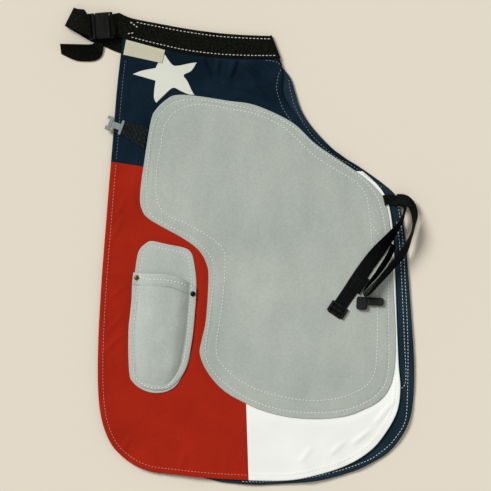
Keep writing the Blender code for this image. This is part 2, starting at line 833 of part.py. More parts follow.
def solid_from_boxes(name, boxes, cuts, finish, centre, turn, height):
    """Boxes joined and cut by others in their own frame, then turned and moved into place."""
    solids = []
    for index, (low, high, chamfer) in enumerate(boxes + cuts):
        work = bmesh.new()
        box_into(work, low, high, chamfer)
        mesh = bpy.data.meshes.new(f"{name}_{index}")
        work.to_mesh(mesh)
        work.free()
        obj = bpy.data.objects.new(mesh.name, mesh)
        bpy.context.scene.collection.objects.link(obj)
        solids.append(obj)
    body = solids[0]
    for index, other in enumerate(solids[1:], start=1):
        step = body.modifiers.new(f"step_{index}", "BOOLEAN")
        step.object = other
        step.operation = "UNION" if index < len(boxes) else "DIFFERENCE"
    graph = bpy.context.evaluated_depsgraph_get()
    joined = bpy.data.meshes.new_from_object(body.evaluated_get(graph))
    for other in solids:
        bpy.data.objects.remove(other, do_unlink=True)
    joined.name = name
    joined.materials.clear()
    joined.materials.append(material(finish))
    obj = bpy.data.objects.new(name, joined)
    bpy.context.scene.collection.objects.link(obj)
    spot = place(centre)
    obj.location = (spot.x, spot.y, height)
    obj.rotation_euler = (0, 0, math.radians(turn))
    return obj


def make_cloth(ground):
    near = smooth_outline(NEAR_LEG)
    far = smooth_outline(FAR_LEG)
    near_yoke = above_seam(near, NEAR_YOKE_SEAM, 1)
    far_yoke = above_seam(far, FAR_YOKE_SEAM, 1)
    near_lower = above_seam(near, NEAR_YOKE_SEAM, -1)
    far_lower = above_seam(far, FAR_YOKE_SEAM, -1)
    folded_sheet("yoke", near_yoke, far_yoke, ground, NEAR_FACE, FAR_FACE, "navy_canvas", PUCKERS)
    folded_sheet("lining", near, far, ground, NEAR_LINING, FAR_LINING, "navy_canvas")
    panels = (
        ("panel_red_near", near_lower, NEAR_LEG_SEAM, -1, NEAR_FACE, "red_canvas"),
        ("panel_white_near", near_lower, NEAR_LEG_SEAM, 1, NEAR_FACE, "white_canvas"),
        ("panel_red_far", far_lower, FAR_LEG_SEAM, -1, FAR_FACE, "red_canvas"),
        ("panel_white_far", far_lower, FAR_LEG_SEAM, 1, FAR_FACE, "white_canvas"),
    )
    for name, outline, seam, sign, level, finish in panels:
        sheet(name, beside_seam(outline, seam, sign), ground, level, CLOTH, finish)


def make_patches(ground):
    near = smooth_outline(PATCH)
    shift = place(FAR_PATCH_SHIFT)
    far = [point + shift for point in near]
    sheet("patch_near", near, ground, ON_FACE, SUEDE, "grey_suede")
    sheet("patch_far", far, ground, -REST_LIFT, SUEDE, "grey_suede")


def make_trim(ground):
    sheet("star", smooth_outline(STAR), ground, ON_FACE, CLOTH, "white_canvas")
    label_level = ON_FACE + CLOTH + CLEARANCE
    sheet("label", smooth_outline(LABEL), ground, label_level, CLOTH, "label_cloth")
    sheet("side_strap", smooth_outline(SIDE_STRAP), ground, ON_FACE, STRAP_WEBBING, "black_webbing")
    sheet("pocket_back", smooth_outline(POCKET), ground, ON_FACE, SUEDE, "grey_suede")


def pouch_rows():
    """Plan points and rise of the pouch's sections: seam edge, seam line, crown points, and back."""
    rows = []
    for u0, v0, u1, v1, rise, arched in POUCH:
        a, b = place((u0, v0)), place((u1, v1))
        seam = POCKET_SEAM / (b - a).length
        row = [(a, 0.0), (a.lerp(b, seam), 0.0)]
        for across, share in POUCH_CROSS:
            spot = a.lerp(b, seam + across * (1 - 2 * seam))
            spot.y += arched * POUCH_ARCH * math.sin(math.pi * across**POUCH_ARCH_LEAN)
            row.append((spot, share * rise * POCKET_DEPTH))
        row += [(a.lerp(b, 1 - seam), 0.0), (b, 0.0)]
        rows.append(row)
    return rows


def band_grid(name, rows, base, thickness, finish):
    """A wall of even thickness over a grid of plan points and rises."""
    count = len(rows[0])
    low = [(p.x, p.y, base + rise) for row in rows for p, rise in row]
    high = [(x, y, z + thickness) for x, y, z in low]
    verts = low + high
    total = len(low)
    faces = []
    for j in range(len(rows) - 1):
        for i in range(count - 1):
            a = j * count + i
            quad = [a, a + 1, a + count + 1, a + count]
            for tri in ((quad[0], quad[1], quad[2]), (quad[0], quad[2], quad[3])):
                faces.append([k + total for k in tri])
                faces.append(list(tri)[::-1])
    ring = list(range(count)) + [j * count + count - 1 for j in range(1, len(rows))]
    ring += [(len(rows) - 1) * count + i for i in range(count - 2, -1, -1)]
    ring += [j * count for j in range(len(rows) - 2, 0, -1)]
    for a, b in zip(ring, ring[1:] + ring[:1]):
        faces.append([b, a, a + total, b + total])
    return add_object(name, verts, faces, finish)


def make_pocket():
    rows = pouch_rows()
    toe = []
    a, b = place(POUCH_TOE[:2]), place(POUCH_TOE[2:])
    count = len(rows[0])
    for i in range(count):
        toe.append((a.lerp(b, i / (count - 1)), 0.0))
    base = FACE_TOP + SUEDE + CLEARANCE
    band_grid("pocket_pouch", rows + [toe], base, SUEDE, "grey_suede")
    band_grid("pocket_hem", rows[:2], base + SUEDE + CLEARANCE, SUEDE, "grey_suede")
    hem_top = base + 2 * (SUEDE + CLEARANCE)
    for name, spot in RIVETS.items():
        finish = "brass" if name == "rivet_left" else "black_metal"
        rivet(name, place(spot), hem_top, finish)


def rivet(name, spot, base, finish):
    """A domed rivet cap: a short turned profile."""
    work = bmesh.new()
    rings = ((1.0, 0.0), (1.0, 0.35), (0.72, 0.80), (0.30, 1.0))
    sides = 16
    loops = []
    for radius, height in rings:
        loop = []
        for k in range(sides):
            angle = 2 * math.pi * k / sides
            x = spot.x + radius * RIVET_DIAMETER / 2 * math.cos(angle)
            y = spot.y + radius * RIVET_DIAMETER / 2 * math.sin(angle)
            loop.append(work.verts.new((x, y, base + height * RIVET_HEIGHT)))
        loops.append(loop)
    work.faces.new(loops[0][::-1])
    work.faces.new(loops[-1])
    for low, high in zip(loops, loops[1:]):
        for k in range(sides):
            work.faces.new((low[k], low[(k + 1) % sides], high[(k + 1) % sides], high[k]))
    mesh = bpy.data.meshes.new(name)
    work.to_mesh(mesh)
    work.free()
    mesh.materials.append(material(finish))
    obj = bpy.data.objects.new(name, mesh)
    bpy.context.scene.collection.objects.link(obj)


def buckle_frame():
    """Middle height of the buckle, its direction from prong bar to socket bar, and its length."""
    start, end = place(PRONG_BAR), place(SOCKET_BAR)
    middle = BELT_WEBBING + 2 * CLEARANCE + BELT_WEBBING + CLEARANCE + BUCKLE_THICKNESS / 2
    way = end - start
    return middle, math.degrees(math.atan2(way.y, way.x)), way.length


def bar_edges(share, half_width, turn):
    """The two ends of a band that crosses a buckle bar."""
    across = Vector((-math.sin(math.radians(turn)), math.cos(math.radians(turn)))) * half_width
    spot = place(share)
    return spot + across, spot - across


def wrap(a, b, middle, toward):
    """Sections of a band round a bar: it comes over the top and leaves below, on the same side."""
    radius = BUCKLE_BAR / 2 + CLEARANCE + BELT_WEBBING / 2
    made = []
    for k in range(ARC_STEPS + 1):
        angle = math.pi / 2 + math.pi * k / ARC_STEPS
        reach = -radius * math.cos(angle)
        lift = radius * math.sin(angle)
        out = Vector((toward.x * reach, toward.y * reach))
        up = Vector((out.x, out.y, lift))
        made.append(
            (
                Vector((a.x + out.x, a.y + out.y, middle + lift)),
                Vector((b.x + out.x, b.y + out.y, middle + lift)),
                up,
            )
        )
    return made


def make_belt():
    middle, turn, _ = buckle_frame()
    half = BELT_WIDTH / 2
    along = Vector((math.cos(math.radians(turn)), math.sin(math.radians(turn))))
    socket_a, socket_b = bar_edges(SOCKET_BAR, half, turn)
    prong_a, prong_b = bar_edges(PRONG_BAR, half, turn)
    tuck = along * BELT_TUCK
    low_end = middle - BUCKLE_BAR / 2 - CLEARANCE - BELT_WEBBING / 2

    def end_section(a, b, shift):
        lower = (a + shift, b + shift)
        return tuple(Vector((p.x, p.y, low_end)) for p in lower) + (Vector((0, 0, -1)),)

    sections = [end_section(socket_a, socket_b, tuck)]
    sections += list(reversed(wrap(socket_a, socket_b, middle, -along)))
    past = (socket_a + tuck, socket_b + tuck)
    high_end = 2 * middle - low_end
    sections.append(tuple(Vector((p.x, p.y, high_end)) for p in past) + (Vector((0, 0, 1)),))
    near_height = FACE_TOP + BELT_WEBBING / 2
    rows = smooth_rows(NEAR_BELT, 2)
    sections += edge_sections(rows, [near_height] * len(rows))
    fold_a, fold_b = place(NEAR_BELT[-1][:2]), place(NEAR_BELT[-1][2:])
    sections += turn_over_sections(fold_a, fold_b, near_height, BELT_WEBBING / 2, 1)
    rows = smooth_rows(FAR_BELT, 2)
    sections += flip(edge_sections(rows, [BELT_WEBBING / 2] * len(rows)))
    left_a, left_b = place(BELT_LEFT_FOLD[:2]), place(BELT_LEFT_FOLD[2:])
    sections += flip(edge_sections([BELT_LEFT_FOLD], [BELT_WEBBING / 2]))
    sections += turn_over_sections(left_a, left_b, BELT_WEBBING / 2, LEFT_FOLD_HEIGHT, -1)
    sections += edge_sections([BELT_LEFT_FOLD], [LEFT_FOLD_HEIGHT])
    sections += edge_sections([BELT_OVER_LEFT], [OVER_LEFT_HEIGHT])
    sections += wrap(prong_a, prong_b, middle, along)
    sections.append(end_section(prong_a, prong_b, -tuck))
    strip("waist_belt", sections, BELT_WEBBING, "black_webbing")
    tail_rows = smooth_rows(TAIL, 3)
    tail = []
    for row in tail_rows:
        a, b = place(row[:2]), place(row[2:4])
        upper = Vector((a.x, a.y, BELT_WEBBING / 2 + CLEARANCE + row[4] * BELT_WIDTH))
        lower = Vector((b.x, b.y, BELT_WEBBING / 2 + CLEARANCE + row[5] * BELT_WIDTH))
        across = upper - lower
        flat = Vector((-across.y, across.x, 0)).normalized()
        up = across.cross(flat).normalized()
        if up.z < 0:
            up = -up
        tail.append((upper, lower, up))
    strip("belt_tail", tail, BELT_WEBBING, "black_webbing")


def flip(sections):
    """The same sections with the thickness counted from the other face."""
    return [(a, b, -up) for a, b, up in sections]


def turn_over_sections(a, b, start, end, side):
    """Sections of a band that turns over the line from a to b and comes back at another height."""
    axis = (b - a).normalized()
    outward = Vector((-axis.y, axis.x))
    if side * outward.x < 0:
        outward = -outward
    radius = (start - end) / 2
    centre = (start + end) / 2
    made = []
    for k in range(1, ARC_STEPS):
        angle = math.pi * k / ARC_STEPS
        reach = abs(radius) * math.sin(angle)
        lift = radius * math.cos(angle)
        out = Vector((outward.x * reach, outward.y * reach))
        up = Vector((out.x, out.y, lift))
        made.append(
            (
                Vector((a.x + out.x, a.y + out.y, centre + lift)),
                Vector((b.x + out.x, b.y + out.y, centre + lift)),
                up,
            )
        )
    return made


def make_buckle():
    """The fastened side-release buckle: a hollow socket and a base with three prongs inside it."""
    middle, turn, length = buckle_frame()
    half_w = BUCKLE_WIDTH / 2
    half_t = BUCKLE_THICKNESS / 2
    arm_t = BUCKLE_ARM_THICKNESS / 2
    tongue_t = BUCKLE_TONGUE_THICKNESS / 2
    wall = BUCKLE_WALL
    bar = BUCKLE_BAR / 2
    bar_cut = BUCKLE_BAR * BAR_CHAMFER_SHARE
    wrapped = bar + 2 * CLEARANCE + BELT_WEBBING
    mouth = BUCKLE_BASE + bar + 2 * CLEARANCE
    rear = length - wrapped
    inner_w = half_w - wall
    inner_t = half_t - wall
    tip = rear - wall - PRONG_TIP_ROOM
    window = BUCKLE_WINDOW_INSET
    window_t = tongue_t + 2 * CLEARANCE
    soft, fine = BUCKLE_CHAMFER, FINE_CHAMFER
    socket_boxes = [
        ((mouth, -half_w, -half_t), (rear, half_w, half_t), soft),
        ((rear - wall, -half_w, -arm_t), (length + bar, -half_w + BUCKLE_ARM, arm_t), fine),
        ((rear - wall, half_w - BUCKLE_ARM, -arm_t), (length + bar, half_w, arm_t), fine),
        ((length - bar, -half_w + wall / 2, -bar), (length + bar, half_w - wall / 2, bar), bar_cut),
    ]
    socket_cuts = [
        ((mouth - wall, -inner_w, -inner_t), (rear - wall, inner_w, inner_t), 0.0),
        ((mouth + window, -half_w - wall, -window_t), (rear - window, half_w + wall, window_t), 0.0),
    ]
    root = mouth - wall + CLEARANCE
    side_out = inner_w - fine
    side_in = side_out - PRONG_WIDTH
    middle_half = BUCKLE_TONGUE / 2
    prong_boxes = [
        ((wrapped, -half_w, -half_t), (mouth - 2 * CLEARANCE, half_w, half_t), soft),
        ((-bar, -half_w, -arm_t), (wrapped + wall, -half_w + BUCKLE_ARM, arm_t), fine),
        ((-bar, half_w - BUCKLE_ARM, -arm_t), (wrapped + wall, half_w, arm_t), fine),
        ((-bar, -half_w + wall / 2, -bar), (bar, half_w - wall / 2, bar), bar_cut),
        ((root, -middle_half, -tongue_t), (tip, middle_half, tongue_t), fine),
        ((root, -side_out, -tongue_t), (tip, -side_in, tongue_t), fine),
        ((root, side_in, -tongue_t), (tip, side_out, tongue_t), fine),
    ]
    solid_from_boxes("buckle_socket", socket_boxes, socket_cuts, "black_plastic", PRONG_BAR, turn, middle)
    solid_from_boxes("buckle_prongs", prong_boxes, [], "black_plastic", PRONG_BAR, turn, middle)


def make_side_prong():
    """The pronged half of a small side-release buckle: a cross bar, a neck and a hooked head."""
    t = PRONG_PLASTIC
    half = SIDE_PRONG_WIDTH / 2
    neck = half * SIDE_NECK_SHARE
    thin = SMALL_STEP
    bar_end, head_start, head_end = SIDE_PRONG_STATIONS
    long_hook, short_hook = SIDE_HOOKS
    root = head_end - 3 * thin
    boxes = [
        ((0.0, -half, 0.0), (bar_end, half, t), FINE_CHAMFER),
        ((bar_end - thin, -neck, thin), (head_start + thin, neck, t - thin), FINE_CHAMFER),
        ((head_start, -half, 0.0), (head_end, half, t), FINE_CHAMFER),
        ((root, -half + thin, thin), (long_hook[0], -half + long_hook[1], t - thin), FINE_CHAMFER),
        ((root, half - short_hook[1], thin), (short_hook[0], half - thin, t - thin), FINE_CHAMFER),
    ]
    solid_from_boxes("side_prong", boxes, [], "grey_plastic", SIDE_PRONG_CENTRE, SIDE_PRONG_TURN, FACE_TOP)


def make_leg_prong():
    """The buckle half on the leg strap: a rounded plate with a slot, and one thick arm beside it."""
    t = LEG_PRONG_THICKNESS
    half = LEG_PRONG_WIDTH / 2
    thin = SMALL_STEP
    round_edge = t * LEG_PRONG_ROUND_SHARE
    slot_start, slot_end = LEG_SLOT_ENDS
    slot_low = half - LEG_SLOT_INSET - LEG_SLOT_WIDTH
    boxes = [
        ((0.0, -half, 0.0), (LEG_PLATE_LENGTH, half, t), round_edge),
        (
            (LEG_PLATE_LENGTH - 2 * thin, half - LEG_ARM_WIDTH - thin, thin),
            (LEG_PRONG_LENGTH, half - thin, t - thin),
            round_edge,
        ),
    ]
    cuts = [((slot_start, slot_low, -thin), (slot_end, slot_low + LEG_SLOT_WIDTH, t + thin), 0.0)]
    centre, turn = LEG_PRONG_CENTRE, LEG_PRONG_TURN
    solid_from_boxes("leg_prong", boxes, cuts, "dark_grey_plastic", centre, turn, PATCH_TOP)


def make_leg_straps():
    width, thickness = LEG_STRAP_WIDTH, STRAP_WEBBING
    base = PATCH_TOP + thickness / 2
    ribbon("leg_strap", LEG_STRAP, 3, width, thickness, base, "black_webbing")
    ribbon("leg_strap_loop", LEG_STRAP_LOOP, 3, width, thickness, base, "black_webbing")
    ribbon("leg_strap_tail", LEG_STRAP_TAIL, 2, width, thickness, base, "black_webbing")
    make_leg_prong()
    half_l, half_w, bar = SLIDER_LENGTH / 2, SLIDER_WIDTH / 2, SLIDER_BAR
    frame = [((-half_l, -half_w, 0.0), (half_l, half_w, SLIDER_THICKNESS), FINE_CHAMFER)]
    slot = half_w - bar
    cuts = [
        ((-half_l + bar, -slot, -bar), (-bar / 2, slot, SLIDER_THICKNESS + bar), 0.0),
        ((bar / 2, -slot, -bar), (half_l - bar, slot, SLIDER_THICKNESS + bar), 0.0),
    ]
    level = PATCH_TOP + thickness + CLEARANCE
    solid_from_boxes("strap_slider", frame, cuts, "black_plastic", SLIDER_CENTRE, SLIDER_TURN, level)


def centre_on_origin():
    """Moves the whole apron so that its box stands on z = 0, with its middle at the origin."""
    bpy.context.view_layer.update()
    objects = [obj for obj in bpy.data.objects if obj.type == "MESH"]
    corners = [obj.matrix_world @ vert.co for obj in objects for vert in obj.data.vertices]
    low = [min(c[i] for c in corners) for i in range(3)]
    high = [max(c[i] for c in corners) for i in range(3)]
    for obj in objects:
        obj.location.x -= (low[0] + high[0]) / 2
        obj.location.y -= (low[1] + high[1]) / 2
        obj.location.z -= low[2]


def main():
    clear_scene()
    ground = Ground()
    make_cloth(ground)
    make_patches(ground)
    make_trim(ground)
    make_pocket()
    make_belt()
    make_buckle()
    make_side_prong()
    make_leg_straps()
    centre_on_origin()


main()
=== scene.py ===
"""Farrier's apron, folded in half and lying flat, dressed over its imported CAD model.

Each soft node gives way to a finer piece on the same outline and at the same height. Tables hold
shares of the apron's width and length, as the part's own source does. The hard nodes get rounded
copies. Lengths are metres.
"""

import math

import bmesh
import bpy
import numpy as np
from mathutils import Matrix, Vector
from mathutils.bvhtree import BVHTree
from mathutils.geometry import delaunay_2d_cdt


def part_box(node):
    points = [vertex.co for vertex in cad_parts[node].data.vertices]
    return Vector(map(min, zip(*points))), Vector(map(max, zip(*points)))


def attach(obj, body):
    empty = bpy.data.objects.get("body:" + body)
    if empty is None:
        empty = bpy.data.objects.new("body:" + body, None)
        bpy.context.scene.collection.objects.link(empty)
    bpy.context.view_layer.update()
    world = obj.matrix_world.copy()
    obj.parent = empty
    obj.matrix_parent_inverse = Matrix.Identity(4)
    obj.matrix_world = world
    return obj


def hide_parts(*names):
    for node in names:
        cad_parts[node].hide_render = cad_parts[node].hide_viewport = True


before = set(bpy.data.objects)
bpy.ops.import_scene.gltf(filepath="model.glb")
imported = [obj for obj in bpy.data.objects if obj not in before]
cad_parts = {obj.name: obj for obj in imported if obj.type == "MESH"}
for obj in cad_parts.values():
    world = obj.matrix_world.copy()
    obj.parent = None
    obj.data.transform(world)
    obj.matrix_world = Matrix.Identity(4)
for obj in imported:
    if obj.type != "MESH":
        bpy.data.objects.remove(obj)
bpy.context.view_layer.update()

# Driving sizes, as in the part's own source
APRON_WIDTH = 0.560
APRON_LENGTH = 0.836
CLOTH = 0.0010
SUEDE = 0.0016
BELT_WEBBING = 0.0018
BELT_WIDTH = 0.038
STRAP_WEBBING = 0.0015
STRAP_WIDTH = 0.025
CLEARANCE = 0.0003
POCKET_DEPTH = 0.0120
POCKET_SEAM = 0.012
BUCKLE_BAR = 0.0040
BUCKLE_THICKNESS = 0.012
BELT_TUCK = 0.005

# The apron's lower left corner on the floor, and the same corner and span in pixels of the photograph
LOW_CORNER = (-0.25069, -0.42240)
PHOTO_CORNER = (98.0, 484.9)
PHOTO_SPAN = (316.0, 472.4)

# Heights of the layers over the lowest cloth
REST_LIFT = 0.0021
FAR_LINING = 0.0013
NEAR_LINING = 0.0026
NEAR_FACE = 0.0039
ON_FACE = 0.0052
FACE_TOP = 0.0073
PATCH_TOP = 0.0092

# Edges and seams
HEM_WIDTH = 0.0105
HEM_RISE = 0.0007
CLOTH_EDGE = 0.0007
PATCH_EDGE = 0.0009
LEAST_CLOTH = 0.0003
SEAM_DIP = 0.00045
SEAM_DIP_WIDTH = 0.0009
FURROW = 0.0004
HEM_STITCH_DEPTH = 0.0092
POCKET_STITCH_DEPTH = 0.0088
PATCH_STITCH_DEPTH = 0.0115
HEM_RINGS = (0.0007, 0.0018, 0.0035, 0.0055, 0.0075, 0.009, 0.0105, 0.0125, 0.016)
PATCH_RINGS = (0.0005, 0.0013, 0.003, 0.006, 0.0095, 0.0115, 0.0135, 0.018, 0.024)
PATCH_RINGS += (0.0285, 0.0305, 0.0325, 0.036)
# The part of the near leg with the yoke's puckers, in pixels, and its finer spacing
PUCKER_ZONE = ((196, 52), (304, 140))
PUCKER_SPACING = 0.0019
SIDE_STRAP_TURN = 0.35

# Stitches: pitch, length and width
HEM_STITCH = (0.0059, 0.0034, 0.0009)
NAVY_EDGE_STITCH = (0.0059, 0.0034, 0.0007)
SUEDE_STITCH = (0.0063, 0.0036, 0.0012)
POCKET_HEM_STITCH = (0.0063, 0.0034, 0.0014)
BELT_STITCH = (0.0065, 0.0038, 0.0013)
BELT_END_STITCH = (0.0060, 0.0038, 0.0015)
LABEL_STITCH = (0.0030, 0.0024, 0.0004)

# Light and camera
SKY_LEVEL = 0.42
SUN_LEVEL = 0.60
SUN_SPREAD = 24.0
SUN_FROM = (-0.62, 0.52, 0.72)
SENSOR = 36.0
CAMERA_HEIGHT = 4.0
VIEW_WIDTH = 0.870
VIEW_MIDDLE = (0.0107, 0.0012)
FLOOR_REACH = 6.0
FLOOR_LEVEL = -0.0002


def table(text):
    """Rows of numbers from lines of text, one row between two commas."""
    return [tuple(float(word) for word in row.split()) for row in text.split(",")]


# Outlines: share of the width, share of the length, 1 where the line is round and 0 at a corner
NEAR_LEG = table(
    """.554 .929 0, .481 .927 1, .386 .931 1, .291 .941 1, .196 .952 1, .084 .971 0, .062 .847 1,
    .049 .741 1, .032 .602 1, .012 .430 1, .002 .307 1, .001 .205 1, .012 .140 1, .038 .092 1,
    .071 .064 1, .116 .042 1, .171 .028 1, .245 .022 1, .384 .013 1, .574 .009 1, .679 .019 1,
    .784 .041 1, .862 .073 1, .911 .112 1, .946 .157 1, .956 .205 1, .951 .250 1, .946 .324 1,
    .935 .510 1, .925 .576 1, .907 .613 1, .875 .641 1, .826 .669 1, .763 .701 1, .706 .727 1,
    .657 .758 1, .612 .795 1, .586 .824 1, .581 .845 1, .584 .868 1, .579 .887 0"""
)
FAR_LEG = table(
    """.554 .929 0, .320 .930 1, .100 .955 0, .070 .847 1, .056 .741 1, .039 .602 1, .019 .430 1,
    .009 .307 1, .008 .205 1, .021 .145 1, .049 .097 1, .087 .066 1, .137 .044 1, .192 .032 1,
    .260 .026 1, .345 .013 1, .402 .005 1, .503 .000 1, .584 .002 1, .700 .009 1, .797 .026 1,
    .859 .044 1, .916 .067 1, .958 .100 1, .984 .135 1, .996 .175 1, 1.000 .230 1, .998 .284 1,
    .988 .384 1, .973 .518 1, .956 .580 1, .941 .612 1, .901 .638 1, .823 .675 1, .757 .703 1,
    .684 .752 1, .643 .793 1, .624 .830 1, .608 .862 1, .579 .887 0"""
)
PATCH = table(
    """.248 .825 1, .313 .823 1, .410 .813 1, .500 .803 1, .612 .768 1, .681 .726 1, .730 .702 1,
    .820 .662 1, .874 .632 1, .904 .605 1, .920 .566 1, .930 .490 1, .936 .400 1, .941 .315 1,
    .938 .250 1, .922 .207 1, .889 .178 1, .837 .159 1, .784 .146 1, .695 .140 1, .601 .144 1,
    .522 .157 1, .469 .172 1, .401 .198 1, .350 .235 1, .323 .275 1, .328 .305 1, .342 .350 1,
    .350 .440 1, .341 .472 1, .318 .497 1, .273 .520 1, .168 .560 1, .140 .582 1, .134 .614 1,
    .147 .684 1, .168 .770 1, .185 .795 1, .216 .815 1"""
)
FAR_PATCH_SHIFT = (0.030, -0.003)
POCKET = table(
    """.173 .516 1, .152 .511 1, .129 .493 1, .118 .451 1, .105 .380 1, .097 .309 1, .100 .237 1,
    .112 .217 1, .136 .204 1, .165 .196 1, .198 .195 1, .225 .200 1, .252 .214 1, .284 .255 1,
    .294 .290 1, .305 .360 1, .312 .427 1, .304 .473 1, .295 .492 1, .273 .502 1, .221 .509 1"""
)
STAR = table(
    """.111 .869 0, .137 .876 1, .166 .880 1, .183 .882 0, .193 .895 1, .212 .911 0, .224 .899 1,
    .238 .888 1, .255 .887 1, .292 .892 1, .313 .894 0, .296 .876 1, .272 .867 1, .284 .854 1,
    .297 .835 1, .306 .825 0, .288 .826 1, .263 .833 1, .238 .840 1, .211 .825 1, .185 .808 0,
    .178 .818 1, .179 .837 1, .183 .855 0, .158 .860 1"""
)
LABEL = table(".090 .942 0, .213 .920 0, .204 .892 0, .081 .910 0")
SIDE_STRAP = table(".088 .767 0, .160 .757 0, .149 .708 0, .073 .742 0")
NEAR_YOKE_SEAM = table("-.100 .691, .041 .684, .149 .673, .481 .667, 1.100 .661")
FAR_YOKE_SEAM = table("-.100 .688, .180 .670, .511 .664, 1.100 .658")
NEAR_LEG_SEAM = table(".482 -.100, .469 .172, .443 .720")
FAR_LEG_SEAM = table(".534 -.100, .520 .172, .494 .720")
FOLD = table(".554 .929, .579 .887")
# Belt: upper edge and lower edge
NEAR_BELT = table(
    """.068 .999 .058 .948, .090 .992 .078 .946, .117 .986 .101 .942, .185 .977 .168 .930,
    .284 .965 .272 .914, .384 .956 .377 .905, .465 .952 .481 .902, .542 .950 .570 .902"""
)
FAR_BELT = table(
    """.542 .950 .570 .902, .465 .951 .481 .900, .384 .950 .380 .899, .284 .954 .272 .898,
    .190 .947 .165 .899, .098 .959 .072 .914, .044 .973 .017 .929, .016 .983 -.025 .940"""
)
BELT_LEFT_FOLD = (-0.065, 1.007, -0.094, 0.968)
BELT_OVER_LEFT = (-0.041, 1.005, -0.058, 0.957)
LEFT_FOLD_HEIGHT = 0.0125
OVER_LEFT_HEIGHT = 0.0167
SOCKET_BAR = (0.046, 0.973)
PRONG_BAR = (-0.025, 0.969)
# Loose end of the belt: upper edge, lower edge, and the height of each as a share of the width
TAIL = table(
    """.000 .950 .022 .945 .058 .058, -.006 .941 .018 .932 .075 .058, -.014 .934 .016 .917 .160 .030,
    -.022 .932 .008 .905 .300 .010, -.034 .931 -.012 .898 .420 .010, -.056 .931 -.045 .897 .520 .010,
    -.085 .931 -.075 .900 .600 .010, -.116 .931 -.116 .913 .700 .010"""
)
# Middle of the strap, its lift as a share of the width, its roll in degrees, and its share of the width
LEG_STRAP = table(
    """.903 .602 .04 0 .74, .918 .604 -.01 0 .7, .935 .603 -.01 0 .72, .957 .599 .12 -25 .8,
    .968 .588 .36 -70 1, .966 .576 .5 -78 1, .958 .559 .5 -73 1, .94 .541 .46 -62 1, .914 .518 .36 -42 1,
    .872 .484 .16 -15 1, .831 .446 .04 0 1, .799 .413 .02 0 1, .775 .389 0 0 1, .757 .371 0 0 1,
    .745 .359 0 0 1"""
)
LEG_STRAP_LOOP = table(
    """.943 .605 .22 0 .7, .962 .604 .34 -12 .76, .979 .599 .44 -38 .85, .993 .587 .48 -54 1,
    .999 .57 .49 -60 1, .996 .546 .5 -76 1, .986 .524 .49 -74 1, .965 .494 .48 -58 1,
    .926 .461 .47 -60 1, .892 .435 .48 -66 1, .864 .411 .5 -76 1, .852 .402 .52 -84 1,
    .841 .401 .52 -90 1, .839 .409 .52 -94 1, .853 .424 .51 -104 1, .88 .446 .5 -112 1,
    .905 .47 .49 -116 1, .923 .491 .49 -116 1, .932 .509 .5 -112 1"""
)
LEG_STRAP_TAIL = table(".841 .443 .15 0 .92, .822 .425 .13 0 .92, .808 .411 .13 0 .92")
# Left edge, right edge, share of the rise, share of the mouth's arch
POUCH = table(
    """.113 .45 .311 .417 .78 1, .109 .425 .31 .392 .86 1, .106 .38 .307 .366 1 .35,
    .098 .334 .301 .322 1 0, .098 .295 .292 .284 .9 0, .101 .255 .28 .25 .7 0,
    .108 .23 .265 .231 .4 0, .124 .216 .249 .218 .18 0, .145 .207 .23 .207 .06 0,
    .178 .201 .206 .201 0 0"""
)
POUCH_ARCH = 0.0115
POUCH_ARCH_LEAN = 1.5
POUCH_STEPS = 7
# Share of the rise across the pouch, from seam to seam
POUCH_CROSS = table("0 0, .10 .40, .25 .80, .42 .97, .60 1, .79 .86, .91 .48, 1 0")

# Ridges of the near face, in pixels of the photograph: start, end, width in mm, height in mm
RIDGES = table(
    """200 56 212 80 16 4.4, 219 56 216 78 15 3.6, 236 58 229 80 15 5.4, 243 62 262 80 14 5.0,
    262 57 276 70 12 4.2, 252 84 268 100 15 4.2, 236 84 256 94 16 3.8, 276 92 290 112 13 3.4,
    222 82 234 90 14 2.2, 290 116 304 130 11 1.6, 128 80 124 112 14 1.8, 120 116 132 134 12 1.6,
    301 120 314 136 10 1.2,
    103 354 122 334 12 1.8, 107 332 125 312 10 1.4, 110 356 113 372 10 1.0,
    112 240 124 216 12 1.4, 116 216 127 196 12 1.1, 110 300 126 284 11 1.0,
    374 424 394 400 12 2.0, 352 444 372 428 12 1.8, 330 454 346 440 13 1.4,
    300 462 312 446 13 1.1, 120 452 132 436 14 1.3, 180 470 186 450 18 1.0, 225 474 226 452 18 .9"""
)

